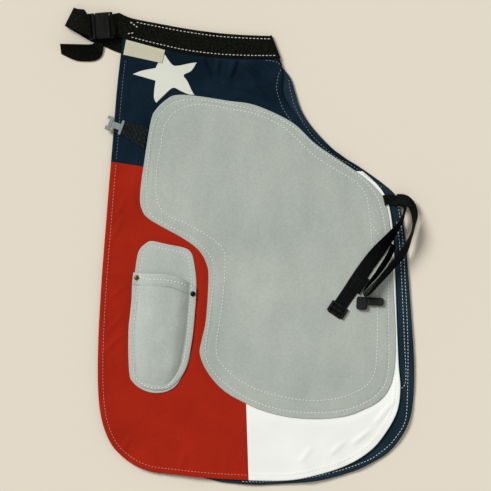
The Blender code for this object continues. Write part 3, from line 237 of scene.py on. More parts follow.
# The patch's two rows of stitches, in pixels of the photograph
PATCH_ROWS = (
    """213.8 282.5, 214.3 270.6, 211.5 258.1, 203.9 248.3, 192.8 238.6, 177.5 230.3, 160.8 221.9,
    151.5 214.5, 147.6 205, 146.7 190, 147.3 172, 149.2 155, 150.9 140, 153.9 126, 160.8 113.6,
    172.6 103.4, 184 100.6, 195.6 100.3, 217.8 102.2, 242.8 107.4, 265 113.2, 278.9 118.8,
    298.3 130.8, 317.8 148.6, 338.6 162.6, 356.7 175, 370.6 187.6, 378.2 199.7, 382.4 215,
    385.6 230.3, 387.2 250, 387.9 287.5, 388.1 312.5, 388.8 337.5, 388.5 362.5, 386.3 380,
    378.8 392.5, 367.5 401.3, 351.3 408.1, 335 411.6, 315 412.5, 295 411.6, 277.5 408.8,
    257.5 402.5, 237.5 392.5, 221.3 380, 211.3 368.8, 206.3 357.5, 205.6 347.5, 208.1 328.8,
    211.3 303.8, 213.8 282.5""",
    """224.4 282.5, 225.4 262.2, 223.3 249.7, 215 240.7, 201.1 231.7, 185.8 223.3, 170.6 217.1,
    160.8 208.1, 157.4 198.3, 156.4 184.4, 157.4 167.8, 159.4 155.3, 161.5 145, 162.2 137.2,
    166.4 123.3, 174.7 112.9, 187.2 106.7, 198.3 104.9, 215 106.4, 237.2 110.6, 251.1 113,
    267.8 118.8, 284.4 128, 296.9 139, 308.1 150.4, 319.2 159.4, 334.4 169.2, 351.1 178.9,
    360.8 187.2, 366.4 196.9, 369.2 212.2, 370.8 228, 372 244.2, 374.6 270, 376.6 292,
    377.1 311.3, 377.1 337.5, 376.3 360, 373.8 373.8, 366.3 385.6, 351.3 393.8, 335 398.8,
    315 400.4, 295 399.1, 275 395, 257.5 389.4, 238.8 380, 225 367.5, 218.1 357.5, 216.3 345,
    218.8 327.5, 222.5 303.8, 224.4 282.5""",
)

rng = np.random.default_rng(7)


def place(rows):
    """Points on the floor, in metres, from shares of the apron's width and length."""
    rows = np.atleast_2d(np.array([row[:2] for row in rows], float))
    return rows * (APRON_WIDTH, APRON_LENGTH) + LOW_CORNER


def spot(share):
    """One point on the floor as a vector, from shares of the apron's width and length."""
    return Vector((share[0] * APRON_WIDTH + LOW_CORNER[0], share[1] * APRON_LENGTH + LOW_CORNER[1]))


def photo(rows):
    """Points on the floor, in metres, from pixels of the photograph."""
    rows = np.atleast_2d(np.array([row[:2] for row in rows], float))
    shares = (rows - PHOTO_CORNER) / PHOTO_SPAN * (1, -1)
    return shares * (APRON_WIDTH, APRON_LENGTH) + LOW_CORNER


def spline_point(before, start, end, after, t):
    """A point of the Catmull-Rom curve between start and end, in any number of columns."""
    return [
        0.5 * (2 * b + (c - a) * t + (2 * a - 5 * b + 4 * c - d) * t**2 + (3 * b - a - 3 * c + d) * t**3)
        for a, b, c, d in zip(before, start, end, after)
    ]


def smooth_rows(rows, steps):
    """A table's rows with smooth rows between them."""
    made = []
    for i in range(len(rows) - 1):
        before = rows[max(i - 1, 0)]
        after = rows[min(i + 2, len(rows) - 1)]
        for k in range(steps):
            made.append(spline_point(before, rows[i], rows[i + 1], after, k / steps))
    made.append(list(rows[-1]))
    return made


def smooth_outline(rows, step=0.004):
    """A closed outline as an array of points, curved through round rows, with corners kept."""
    points = []
    spots = place(rows)
    count = len(rows)
    for i in range(count):
        j, k = (i + 1) % count, (i + 2) % count
        start, end = spots[i], spots[j]
        before = spots[i - 1] if rows[i][2] else start
        after = spots[k] if rows[j][2] else end
        straight = not rows[i][2] and not rows[j][2]
        steps = max(1, round(np.linalg.norm(end - start) / step))
        for n in range(steps):
            t = n / steps
            if straight:
                points.append(start + (end - start) * t)
            else:
                points.append(spline_point(before, start, end, after, t))
    return np.array(points)


def length_along(line):
    """Length from the start of a line to each of its points."""
    return np.concatenate(([0], np.cumsum(np.linalg.norm(np.diff(line, axis=0), axis=1))))


def smooth_line(points, step=0.002):
    """An open line through points, evenly divided along its length."""
    fine = np.array(smooth_rows([tuple(p) for p in points], 12))
    along = length_along(fine)
    want = np.linspace(0, along[-1], max(2, int(along[-1] / step) + 1))
    return np.stack([np.interp(want, along, fine[:, k]) for k in range(fine.shape[1])], axis=1)


def distance(points, line, closed=True):
    """How far each point is from a line of points."""
    a = line
    b = np.roll(line, -1, axis=0)
    if not closed:
        a, b = line[:-1], line[1:]
    way = b - a
    length = np.maximum((way**2).sum(axis=1), 1e-12)
    found = np.empty(len(points))
    for first in range(0, len(points), 1500):
        p = points[first : first + 1500, None, :]
        t = np.clip(((p - a) * way).sum(axis=2) / length, 0, 1)
        found[first : first + 1500] = np.sqrt((((p - a) - t[..., None] * way) ** 2).sum(axis=2).min(axis=1))
    return found


def inside(points, outline):
    """True for each point in a closed outline."""
    a, b = outline, np.roll(outline, -1, axis=0)
    hit = np.zeros(len(points), bool)
    for first in range(0, len(points), 4000):
        x = points[first : first + 4000, 0][:, None]
        y = points[first : first + 4000, 1][:, None]
        crosses = (a[:, 1] > y) != (b[:, 1] > y)
        rise = np.where(np.abs(b[:, 1] - a[:, 1]) < 1e-15, 1e-15, b[:, 1] - a[:, 1])
        at = a[:, 0] + (y - a[:, 1]) * (b[:, 0] - a[:, 0]) / rise
        hit[first : first + 4000] = (crosses & (x < at)).sum(axis=1) % 2 == 1
    return hit


def step_up(value, low, high):
    """0 below low, 1 above high, and smooth between."""
    t = np.clip((value - low) / (high - low), 0, 1)
    return t * t * (3 - 2 * t)


def between_cells(values, i, f):
    """Values between the four cells of a grid at i, by the shares f."""
    low = values[i[:, 0], i[:, 1]] * (1 - f[:, 0]) + values[i[:, 0] + 1, i[:, 1]] * f[:, 0]
    high = values[i[:, 0], i[:, 1] + 1] * (1 - f[:, 0]) + values[i[:, 0] + 1, i[:, 1] + 1] * f[:, 0]
    return low * (1 - f[:, 1]) + high * f[:, 1]


class Noise:
    """Smooth random values from -1 to 1 on a lattice of one cell size."""

    def __init__(self, cell):
        self.cell = cell
        self.values = rng.uniform(-1, 1, (257, 257))

    def __call__(self, points):
        p = points / self.cell + 100.37
        i = np.floor(p).astype(int)
        f = p - i
        return between_cells(self.values, i % 256, f * f * (3 - 2 * f))


def tree_of(mesh):
    return BVHTree.FromPolygons([v.co for v in mesh.vertices], [p.vertices for p in mesh.polygons])


class Ground:
    """Height of the folded cloth's underside, read from the CAD lining and smoothed."""

    STEP = 0.006

    def __init__(self, near):
        low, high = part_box("lining")
        self.low = np.array((low[0], low[1])) - 0.02
        size = np.array((high[0], high[1])) - self.low + 0.02
        shape = np.ceil(size / self.STEP).astype(int) + 1
        tree = tree_of(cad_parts["lining"].data)
        grid = np.stack(np.meshgrid(*[np.arange(n) for n in shape], indexing="ij"), axis=-1)
        spots = grid.reshape(-1, 2) * self.STEP + self.low
        on_near = inside(spots, near)
        height = np.full(len(spots), np.nan)
        for n, (x, y) in enumerate(spots):
            hit = tree.ray_cast(Vector((x, y, 0.1)), Vector((0, 0, -1)))[0]
            if hit is not None:
                height[n] = hit.z - CLOTH - (NEAR_LINING if on_near[n] else FAR_LINING)
        height = height.reshape(shape)
        while np.isnan(height).any():
            wide = np.pad(height, 1, constant_values=np.nan)
            around = np.stack([np.roll(wide, s, axis=k)[1:-1, 1:-1] for k in (0, 1) for s in (1, -1)])
            known = ~np.isnan(around)
            total = np.where(known, around, 0).sum(axis=0)
            mean = np.where(known.any(axis=0), total / np.maximum(known.sum(axis=0), 1), np.nan)
            height = np.where(np.isnan(height), mean, height)
        for _ in range(3):
            wide = np.pad(height, 1, mode="edge")
            near_by = sum(np.roll(wide, s, axis=k)[1:-1, 1:-1] for k in (0, 1) for s in (1, -1))
            height = 0.4 * height + 0.15 * near_by
        self.height = height

    def __call__(self, points):
        p = np.clip((points - self.low) / self.STEP, 0, np.array(self.height.shape) - 1.001)
        i = p.astype(int)
        return between_cells(self.height, i, p - i)


near_line = smooth_outline(NEAR_LEG)
far_line = smooth_outline(FAR_LEG)
patch_line = smooth_outline(PATCH)
pocket_line = smooth_outline(POCKET)
belt_low_line = np.array([place([row[2:4]])[0] for row in smooth_rows(NEAR_BELT, 4)])
ground = Ground(near_line)
slow = Noise(0.085)
middling = Noise(0.030)
quick = Noise(0.011)


def relief(points):
    """How far the near leg's outer face stands over its flat height: ridges, ripples, slow waves."""
    rise = np.zeros(len(points))
    for x0, y0, x1, y1, width, height in RIDGES:
        line = photo([(x0, y0), (x1, y1)])
        way = line[1] - line[0]
        length = np.linalg.norm(way)
        t = np.clip((points - line[0]) @ way / length**2, -0.2, 1.2)
        off = np.linalg.norm(points - line[0] - t[:, None] * way, axis=1)
        over = np.linalg.norm(points - line[0] - np.clip(t, 0, 1)[:, None] * way, axis=1)
        taper = np.clip(1 - over / (width * 1e-3), 0, 1)
        bump = np.cos(np.clip(off / (width * 1e-3 / 2), 0, 1) * math.pi / 2) ** 2
        fade = step_up(t, -0.15, 0.25) * (1 - step_up(t, 0.55, 1.15))
        rise = rise + height * 1e-3 * bump * fade * (taper > 0)
    edge = distance(points, near_line)
    in_patch = inside(points, patch_line) | inside(points, pocket_line)
    to_patch = np.minimum(distance(points, patch_line), distance(points, pocket_line))
    free = np.where(in_patch, 0.0, step_up(to_patch, 0.0, 0.012))
    rise = rise + 0.0007 * (1 + slow(points)) * free
    rise = rise + 0.0003 * (1 + middling(points)) * free
    rise = rise + 0.00035 * (1 + quick(points)) * (1 - step_up(edge, 0.010, 0.026)) * (0.25 + 0.75 * free)
    rise = rise * np.where(in_patch & (to_patch > 0.004), 0.25, 1.0)
    below_belt = step_up(belt_gap(points), 0.0, 0.007)
    return rise * below_belt


def belt_gap(points):
    """How far below the belt's lower edge each point is; negative on the belt."""
    edge = np.interp(points[:, 0], belt_low_line[:, 0], belt_low_line[:, 1])
    return edge - points[:, 1]


def seam_at(seam, points, key):
    line = place(seam)
    order = np.argsort(line[:, key])
    return np.interp(points[:, key], line[order, key], line[order, 1 - key])


def inset(outline, depth, reach=3, least=0.93):
    """Points this far inside a closed outline, without those where it folds over itself."""
    area = (outline[:, 0] * np.roll(outline[:, 1], -1) - np.roll(outline[:, 0], -1) * outline[:, 1]).sum()
    way = np.roll(outline, -reach, axis=0) - np.roll(outline, reach, axis=0)
    way /= np.maximum(np.linalg.norm(way, axis=1), 1e-9)[:, None]
    inward = np.stack([-way[:, 1], way[:, 0]], axis=1) * (1 if area > 0 else -1)
    ring = outline + inward * depth
    return ring[inside(ring, outline) & (distance(ring, outline) > least * depth)]


def staggered(low, high, gap):
    """Points of a triangular grid between two corners."""
    xs = np.arange(low[0], high[0], gap)
    ys = np.arange(low[1], high[1], gap * 0.866)
    return np.array([(x + (n % 2) * gap / 2, y) for n, y in enumerate(ys) for x in xs])


def mesh_points(outline, seams, spacing, rings, zone=None, zone_spacing=None):
    """Points and triangles that fill an outline, finer along its edge and in a zone; seams become edges."""
    extra = [inset(outline, depth, 1, 0.9) for depth in rings]
    reach = rings[-1] + spacing * 0.6 if rings else spacing * 0.5
    grid = staggered(outline.min(axis=0), outline.max(axis=0), spacing)
    grid = grid[inside(grid, outline)]
    grid = grid[distance(grid, outline) > reach]
    if zone is not None:
        (x0, y1), (x1, y0) = photo(zone)
        apart = (grid[:, 0] < x0) | (grid[:, 0] > x1) | (grid[:, 1] < y0) | (grid[:, 1] > y1)
        fine = staggered((x0, y0), (x1, y1), zone_spacing)
        fine = fine[inside(fine, outline)]
        grid = np.concatenate([grid[apart], fine[distance(fine, outline) > reach]])
    extra.append(grid)
    for seam in seams:
        beside = np.concatenate([seam + SEAM_DIP_WIDTH, seam - SEAM_DIP_WIDTH])
        extra.append(beside[inside(beside, outline)])
    points = [outline] + [e for e in extra if len(e)]
    edges = [(n, (n + 1) % len(outline)) for n in range(len(outline))]
    count = sum(len(p) for p in points)
    for seam in seams:
        points.append(seam)
        edges += [(count + n, count + n + 1) for n in range(len(seam) - 1)]
        count += len(seam)
    flat = [Vector(p) for p in np.concatenate(points)]
    made, _, faces, _, _, _ = delaunay_2d_cdt(flat, edges, [], 1, 1e-6)
    return np.array([tuple(p) for p in made]), np.array(faces)


def closed_sheet(points, faces, bottom, top):
    """Vertices and faces of a closed sheet between two heights over the same triangles."""
    used, faces = np.unique(faces, return_inverse=True)
    faces = faces.reshape(-1, 3)
    points, bottom, top = points[used], bottom[used], top[used]
    count = len(points)
    verts = np.concatenate([np.column_stack([points, top]), np.column_stack([points, bottom])])
    ahead = {(a, b) for f in faces for a, b in ((f[0], f[1]), (f[1], f[2]), (f[2], f[0]))}
    rim = [(a, b) for a, b in ahead if (b, a) not in ahead]
    rim.sort()
    walls = [(b, a, a + count, b + count) for a, b in rim]
    return verts, [tuple(f) for f in faces] + [tuple(f[::-1] + count) for f in faces] + walls


def add_mesh(name, verts, faces, finish, smooth=True):
    mesh = bpy.data.meshes.new(name)
    mesh.from_pydata([tuple(float(c) for c in v) for v in verts], [], [[int(i) for i in f] for f in faces])
    mesh.update()
    obj = bpy.data.objects.new(name, mesh)
    bpy.context.scene.collection.objects.link(obj)
    mesh.materials.append(finish)
    mesh.polygons.foreach_set("use_smooth", [smooth] * len(mesh.polygons))
    if smooth:
        mesh.set_sharp_from_angle(angle=math.radians(50))
    return obj


def tube_faces(rings, sides):
    """Side faces between rings of vertices."""
    faces = []
    for j in range(rings - 1):
        for k in range(sides):
            a, b = j * sides + k, j * sides + (k + 1) % sides
            faces.append((a, b, b + sides, a + sides))
    return faces


def ride(obj):
    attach(obj, "root")
    return obj


def plan_area(points, faces):
    a, b, c = (points[faces[:, k]] for k in range(3))
    u, v = b - a, c - a
    return float(np.abs(u[:, 0] * v[:, 1] - u[:, 1] * v[:, 0]).sum() / 2)


def rounded(depth, radius):
    """How far an edge's top lies below its full height, this deep inside the edge."""
    t = np.clip(1 - depth / radius, 0, 1)
    return radius * (1 - np.sqrt(1 - t * t))


def hem(depth):
    """The step of a turned hem and the furrow of its stitch line."""
    step = HEM_RISE * (1 - step_up(depth, HEM_WIDTH - 0.0008, HEM_WIDTH + 0.0022))
    return step - furrow(depth, HEM_WIDTH - 0.0018, 0.0013)


def furrow(depth, middle, width, deep=FURROW):
    """How far a stitch line pulls the cloth down, this deep inside the edge."""
    return deep * np.exp(-(((depth - middle) / width) ** 2))


# Materials


def new_material(name, colour, roughness, metallic=0.0, specular=None):
    """A Principled material: itself, its node tree and its shader."""
    made = bpy.data.materials.new(name)
    made.use_nodes = True
    tree = made.node_tree
    shader = tree.nodes["Principled BSDF"]
    shader.inputs["Base Color"].default_value = (*colour, 1)
    shader.inputs["Roughness"].default_value = roughness
    shader.inputs["Metallic"].default_value = metallic
    if specular is not None:
        shader.inputs["Specular IOR Level"].default_value = specular
    return made, tree, shader


class Nodes:
    """Short calls for the nodes that the materials share."""

    def __init__(self, tree, shader):
        self.tree, self.shader = tree, shader

    def add(self, kind, **values):
        node = self.tree.nodes.new(kind)
        for key, value in values.items():
            if hasattr(node, key):
                setattr(node, key, value)
            else:
                node.inputs[key].default_value = value
        return node

    def link(self, out, into):
        self.tree.links.new(out, into)

    def coords(self, uv=False):
        return self.add("ShaderNodeTexCoord").outputs["UV" if uv else "Object"]

    def scaled(self, vector, scale, turn=0.0):
        node = self.add("ShaderNodeMapping")
        node.inputs["Scale"].default_value = scale
        node.inputs["Rotation"].default_value = (0, 0, turn)
        self.link(vector, node.inputs["Vector"])
        return node.outputs["Vector"]

    def noise(self, vector, scale, detail=3.0, rough=0.55):
        node = self.add("ShaderNodeTexNoise", Scale=scale, Detail=detail, Roughness=rough)
        self.link(vector, node.inputs["Vector"])
        return node.outputs["Fac"]

    def wave(self, vector, scale, direction, distortion=0.0):
        node = self.add("ShaderNodeTexWave", wave_type="BANDS", bands_direction=direction, Scale=scale)
        node.inputs["Distortion"].default_value = distortion
        node.inputs["Detail"].default_value = 1.0
        node.inputs["Detail Scale"].default_value = 2.0
        self.link(vector, node.inputs["Vector"])
        return node.outputs["Fac"]

    def ramp(self, value, *stops):
        node = self.add("ShaderNodeValToRGB")
        ramp = node.color_ramp
        while len(ramp.elements) < len(stops):
            ramp.elements.new(0.5)
        for element, (where, colour) in zip(ramp.elements, stops):
            element.position = where
            element.color = (*colour, 1)
        self.link(value, node.inputs["Fac"])
        return node.outputs["Color"]

    def math(self, operation, a, b):
        node = self.add("ShaderNodeMath", operation=operation)
        for n, value in enumerate((a, b)):
            if isinstance(value, (int, float)):
                node.inputs[n].default_value = value
            else:
                self.link(value, node.inputs[n])
        return node.outputs["Value"]

    def mix(self, share, a, b, blend="MIX"):
        node = self.add("ShaderNodeMix", data_type="RGBA", blend_type=blend)
        for socket, value in ((node.inputs[0], share), (node.inputs[6], a), (node.inputs[7], b)):
            if isinstance(value, (int, float)):
                socket.default_value = value
            elif isinstance(value, tuple):
                socket.default_value = (*value, 1)
            else:
                self.link(value, socket)
        return node.outputs[2]

    def bump(self, height, distance, strength=1.0, normal=None):
        node = self.add("ShaderNodeBump", Strength=strength, Distance=distance)
        self.link(height, node.inputs["Height"])
        if normal is not None:
            self.link(normal, node.inputs["Normal"])
        return node.outputs["Normal"]

    def colour(self, out):
        self.link(out, self.shader.inputs["Base Color"])

    def normal(self, out):
        self.link(out, self.shader.inputs["Normal"])

    def roughness(self, out):
        self.link(out, self.shader.inputs["Roughness"])


def times(colour, factor):
    return tuple(min(1.0, c * factor) for c in colour)


def grey(level):
    return (level, level, level)


def wave_scale(pitch):
    """Scale of a wave texture whose bands lie this far apart."""
    return 1 / pitch / 6.2832 * 2


def canvas(name, colour, speckle, thread=0.0009, cloud=0.05):
    """Plain woven canvas: crossing threads, flecks of lighter and darker yarn, soft wear."""
    made, tree, shader = new_material(name, colour, 0.92, specular=0.02)
    n = Nodes(tree, shader)
    where = n.coords()
    warp = n.wave(where, wave_scale(thread), "X", 0.6)
    weft = n.wave(where, wave_scale(thread), "Y", 0.6)
    weave = n.math("MAXIMUM", warp, weft)
    flecks = n.noise(where, 900.0, 2.0)
    wear = n.noise(where, 14.0, 4.0)
    dark, light = times(colour, 1 - speckle), times(colour, 1 + speckle)
    base = n.ramp(flecks, (0.30, dark), (0.70, light))
    soft = n.ramp(wear, (0.32, grey(1 - cloud)), (0.68, grey(1 + cloud)))
    n.colour(n.mix(1.0, base, soft, "MULTIPLY"))
    first = n.bump(weave, 0.00018, 0.55)
    n.normal(n.bump(wear, 0.0008, 0.25, first))
    return made


def suede(name, colour, warm=(1.04, 1.0, 0.97)):
    """Split suede: short nap with brushed lighter and darker patches and faint scratches."""
    made, tree, shader = new_material(name, colour, 0.95, specular=0.03)
    n = Nodes(tree, shader)
    where = n.coords()
    long_way = n.scaled(where, (1.0, 0.35, 1.0), 0.35)
    brush = n.noise(long_way, 26.0, 5.0, 0.6)
    cloud = n.noise(where, 7.0, 3.0, 0.5)
    nap = n.noise(where, 1100.0, 3.0, 0.7)
    grain = n.noise(where, 240.0, 3.0, 0.6)
    cool = times(colour, 0.93)
    pale = tuple(c * w for c, w in zip(times(colour, 1.06), warm))
    base = n.ramp(cloud, (0.30, cool), (0.70, pale))
    strokes = n.ramp(brush, (0.30, grey(0.93)), (0.70, grey(1.05)))
    fine = n.ramp(grain, (0.30, grey(0.93)), (0.70, grey(1.06)))
    n.colour(n.mix(1.0, n.mix(1.0, base, strokes, "MULTIPLY"), fine, "MULTIPLY"))
    first = n.bump(nap, 0.0004, 0.5)
    second = n.bump(grain, 0.0006, 0.35, first)
    n.normal(n.bump(brush, 0.0010, 0.2, second))
    return made


def webbing(name, colour, rib=0.0016, flat=False, glint=1.6):
    """Woven webbing: slanted ribs, lengthwise cords, lighter and darker fuzz, and patches of painted glint.
    """
    made, tree, shader = new_material(name, colour, 0.62, specular=0.02)
    n = Nodes(tree, shader)
    where = n.scaled(n.coords(), (1, 1, 1), SIDE_STRAP_TURN) if flat else n.coords(uv=True)
    cross = n.wave(where, wave_scale(rib), "DIAGONAL", 0.3)
    cords = n.wave(where, wave_scale(rib * 0.8), "X", 0.2)
    weave = n.math("ADD", n.math("MULTIPLY", cross, 0.6), n.math("MULTIPLY", cords, 0.4))
    fuzz = n.noise(n.coords(), 700.0, 2.0)
    tone = n.ramp(weave, (0.0, times(colour, 0.55)), (1.0, times(colour, 1.6)))
    # Painted highlight: noise patches brighten the colour up to glint times, with darker patches between
    # them.
    painted_glints = n.ramp(n.noise(n.coords(), 300.0, 2.0), (0.42, grey(0.75)), (0.72, grey(glint)))
    worn = n.mix(0.25, tone, n.ramp(fuzz, (0.3, times(colour, 0.7)), (0.7, times(colour, 2.0))))
    n.colour(n.mix(1.0, worn, painted_glints, "MULTIPLY"))
    n.normal(n.bump(weave, 0.00025, 0.7))
    return made


def thread(name, colour):
    """Twisted sewing thread."""
    made, tree, shader = new_material(name, colour, 0.8, specular=0.08)
    n = Nodes(tree, shader)
    twist = n.noise(n.coords(), 1500.0, 1.0)
    n.colour(n.ramp(twist, (0.3, times(colour, 0.82)), (0.7, colour)))
    n.normal(n.bump(twist, 0.0001, 0.4))
    return made


def moulded(name, colour, roughness=0.36, scuff=0.5):
    """Moulded plastic: fine orange peel and dull scuffs."""
    made, tree, shader = new_material(name, colour, roughness, specular=0.16)
    n = Nodes(tree, shader)
    where = n.coords()
    peel = n.noise(where, 900.0, 2.0)
    rubs = n.noise(n.scaled(where, (1.0, 0.3, 1.0), 0.9), 160.0, 4.0)
    pale = times(tuple(c + 0.004 for c in colour), 1 + scuff)
    n.colour(n.ramp(rubs, (0.35, colour), (0.80, pale)))
    n.roughness(n.math("ADD", n.math("MULTIPLY", rubs, 0.25), roughness - 0.12))
    n.normal(n.bump(peel, 0.00006, 0.4))
    return made


def metal(name, colour, roughness, dark):
    """Dull metal with tarnish in soft spots."""
    made, tree, shader = new_material(name, colour, roughness, metallic=0.85)
    n = Nodes(tree, shader)
    spots = n.noise(n.coords(), 350.0, 3.0)
    n.colour(n.ramp(spots, (0.35, dark), (0.65, colour)))
    n.roughness(n.math("ADD", n.math("MULTIPLY", spots, 0.3), roughness - 0.15))
    n.normal(n.bump(spots, 0.0001, 0.4))
    return made


NAVY = canvas("navy", (0.0058, 0.0146, 0.0250), 0.28, cloud=0.32)
NAVY_INNER = canvas("navy_lining", (0.0120, 0.0270, 0.0400), 0.28, cloud=0.22)
RED = canvas("red", (0.352, 0.0184, 0.0074), 0.16, cloud=0.07)
WHITE = canvas("white", (0.850, 0.862, 0.805), 0.02, cloud=0.02)
STAR_WHITE = canvas("star_white", (0.690, 0.705, 0.610), 0.03, 0.0006, cloud=0.04)
GREY_SUEDE = suede("suede", (0.398, 0.440, 0.398))
POCKET_SUEDE = suede("pocket_suede", (0.440, 0.487, 0.442))
LABEL_CLOTH = canvas("label", (0.560, 0.535, 0.400), 0.03, 0.0004, cloud=0.03)
BLACK_WEB = webbing("webbing", (0.0040, 0.0043, 0.0030), glint=2.2)
STRAP_WEB = webbing("strap_webbing", (0.0046, 0.0052, 0.0048), 0.0022)
SIDE_WEB = webbing("side_webbing_weave", (0.0085, 0.0102, 0.0102), 0.0046, True, 2.2)
PALE_THREAD = thread("pale_thread", (0.780, 0.750, 0.680))
GREY_THREAD = thread("grey_thread", (0.860, 0.870, 0.820))
RED_HEM_THREAD = thread("red_hem_thread", (0.600, 0.350, 0.270))
DARK_THREAD = thread("navy_leg_thread", (0.260, 0.300, 0.290))
BLACK_PLASTIC = moulded("black_plastic_moulded", (0.0028, 0.0028, 0.0024))
GREY_PLASTIC = moulded("grey_plastic_moulded", (0.215, 0.238, 0.232), 0.34, 0.25)
DARK_PLASTIC = moulded("dark_plastic_moulded", (0.0095, 0.0108, 0.0100), 0.32)
BRASS = metal("antique_brass", (0.230, 0.135, 0.045), 0.42, (0.060, 0.036, 0.014))
BLACK_METAL = metal("black_enamel", (0.012, 0.013, 0.010), 0.35, (0.006, 0.006, 0.006))


# Cloth and suede


def dressed_sheet(name, node, parts, finish):
    """One closed cloth from one or more (points, faces, bottom, top) leaves, placed under the root body."""
    verts, faces, area = [], [], 0.0
    for points, tris, bottom, top in parts:
        more, tri_faces = closed_sheet(points, tris, bottom, top)
        first = len(verts)
        verts += list(more)
        faces += [tuple(i + first for i in f) for f in tri_faces]
        area += plan_area(points, tris)
    obj = add_mesh(name, verts, faces, finish)
    ride(obj)
    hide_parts(node)
    return obj


def seam_line(seam, outline, key, step=0.006):
    """Points of a seam from edge to edge of an outline."""
    line = place(seam)
    line = line[np.argsort(line[:, key])]
    low, high = outline[:, key].min() - 0.01, outline[:, key].max() + 0.01
    along = np.arange(low, high, step)
    across = np.interp(along, line[:, key], line[:, 1 - key])
    return np.column_stack([along, across] if key == 0 else [across, along])


def leg_seams(yoke_seam, leg_seam, outline):
    """A leg's two seams: across below the yoke, and between the panels up to that seam."""
    across = seam_line(yoke_seam, outline, 0)
    down = seam_line(leg_seam, outline, 1)
    return across, down[down[:, 1] < seam_at(yoke_seam, down, 0)]


def seam_share(points, seams):
    """1 on a seam and 0 away from it."""
    gap = np.minimum(*[distance(points, seam, False) for seam in seams])
    return np.exp(-((gap / SEAM_DIP_WIDTH) ** 2))


def split_leg(points, faces, yoke_seam, leg_seam):
    """A leg's faces on the yoke, on the red panel and on the white panel."""
    middle = points[faces].mean(axis=1)
    on_yoke = middle[:, 1] > seam_at(yoke_seam, middle, 0)
    on_red = ~on_yoke & (middle[:, 0] < seam_at(leg_seam, middle, 1))
    return faces[on_yoke], faces[on_red], faces[~on_yoke & ~on_red]


def fold_arc(level_top, level_bottom, thickness):
    """The turn of a folded cloth over the centre fold: points, faces in three dimensions."""
    a, b = [Vector((*p, 0)) for p in place(FOLD)]
    way = (b - a).normalized()
    outward = Vector((-way.y, way.x, 0))
    if outward.x < 0:
        outward = -outward
    outer = (level_top - level_bottom) / 2
    middle = (level_top + level_bottom) / 2
    steps, along = 12, 8
    verts, faces = [], []
    for radius in (outer, outer - thickness):
        for k in range(steps + 1):
            angle = math.pi / 2 - math.pi * k / steps
            for n in range(along + 1):
                p = a.lerp(b, n / along) + outward * radius * math.cos(angle)
                verts.append((p.x, p.y, middle + radius * math.sin(angle)))
    row = along + 1
    half = (steps + 1) * row
    for k in range(steps):
        for n in range(along):
            i = k * row + n
            faces.append((i, i + 1, i + row + 1, i + row))
            faces.append((half + i, half + i + row, half + i + row + 1, half + i + 1))
    for k in range(steps):
        for n in (0, along):
            i = k * row + n
            faces.append((i, i + row, half + i + row, half + i)[:: 1 if n == 0 else -1])
    for k in (0, steps):
        for n in range(along):
            i = k * row + n
            faces.append((i, half + i, half + i + 1, i + 1)[:: 1 if k == 0 else -1])
    return verts, faces


def add_to(obj, verts, faces):
    """Adds a closed shell to a mesh and keeps its material."""
    work = bmesh.new()
    work.from_mesh(obj.data)
    made = [work.verts.new(v) for v in verts]
    for face in faces:
        work.faces.new([made[i] for i in face]).smooth = True
    bmesh.ops.recalc_face_normals(work, faces=work.faces)
    work.to_mesh(obj.data)
    work.free()


def make_near_leg():
    """The near leg's outer face. Returns its two panels and the leaf of the near yoke."""
    seams = leg_seams(NEAR_YOKE_SEAM, NEAR_LEG_SEAM, near_line)
    points, faces = mesh_points(near_line, seams, 0.0042, HEM_RINGS, PUCKER_ZONE, PUCKER_SPACING)
    depth = distance(points, near_line)
    bottom = ground(points) + NEAR_FACE + np.maximum(relief(points), 0)
    top = bottom + CLOTH + hem(depth) - rounded(depth, CLOTH_EDGE) - SEAM_DIP * seam_share(points, seams)
    top = np.maximum(top, bottom + LEAST_CLOTH)
    on_yoke, on_red, on_white = split_leg(points, faces, NEAR_YOKE_SEAM, NEAR_LEG_SEAM)
    made = [
        dressed_sheet(
            name, node, [(points, part, bottom, top)], finish
        )
        for name, node, part, finish, slot, flat in (
            ("panel_red", "panel_red_near", on_red, RED, "red_canvas", (0.285, 0.590)),
            ("panel_white", "panel_white_near", on_white, WHITE, "white_canvas", (0.295, 0.580)),
        )
    ]
    return made, (points, on_yoke, bottom, top)


def make_far_leg():
    """The far leg: lining up, outer face down. Returns the lining and the leaf of the far yoke."""
    points, faces = mesh_points(far_line, [], 0.009, HEM_RINGS + (0.022, 0.030))
    depth = distance(points, far_line)
    bottom = ground(points) + FAR_LINING
    wave = 0.0003 * (1 + quick(points)) * (1 - step_up(depth, 0.018, 0.030))
    top = bottom + CLOTH + (hem(depth) + wave) * ~inside(points, near_line) - rounded(depth, CLOTH_EDGE)
    far_lining = (points, faces, bottom, np.maximum(top, bottom + LEAST_CLOTH))
    points, faces = mesh_points(near_line, [], 0.014, (0.0007, 0.003, 0.010))
    depth = distance(points, near_line)
    bottom = ground(points) + NEAR_LINING
    near_lining = (points, faces, bottom, bottom + CLOTH - rounded(depth, 0.0005))
    lining = dressed_sheet(
        "lining_both", "lining", [near_lining, far_lining], NAVY_INNER,
    )
    verts, arc = fold_arc(REST_LIFT + NEAR_LINING + CLOTH, REST_LIFT + FAR_LINING, CLOTH)
    add_to(lining, verts, arc)
    seams = leg_seams(FAR_YOKE_SEAM, FAR_LEG_SEAM, far_line)
    points, faces = mesh_points(far_line, seams, 0.009, (0.0007, 0.002, 0.006, 0.0095, 0.012))
    depth = distance(points, far_line)
    bottom = ground(points) + rounded(depth, 0.0006) + FURROW * seam_share(points, seams)
    top = np.maximum(ground(points) + CLOTH, bottom + LEAST_CLOTH)
    on_yoke, on_red, on_white = split_leg(points, faces, FAR_YOKE_SEAM, FAR_LEG_SEAM)
    for name, node, part, finish, slot, flat in (
        ("panel_red_under", "panel_red_far", on_red, RED, "red_canvas", (0.300, 0.590)),
        ("panel_white_under", "panel_white_far", on_white, WHITE, "white_canvas", (0.290, 0.580)),
    ):
        leaf = (points, part, bottom, top)
        dressed_sheet(name, node, [leaf], finish)
    return lining, (points, on_yoke, bottom, top)


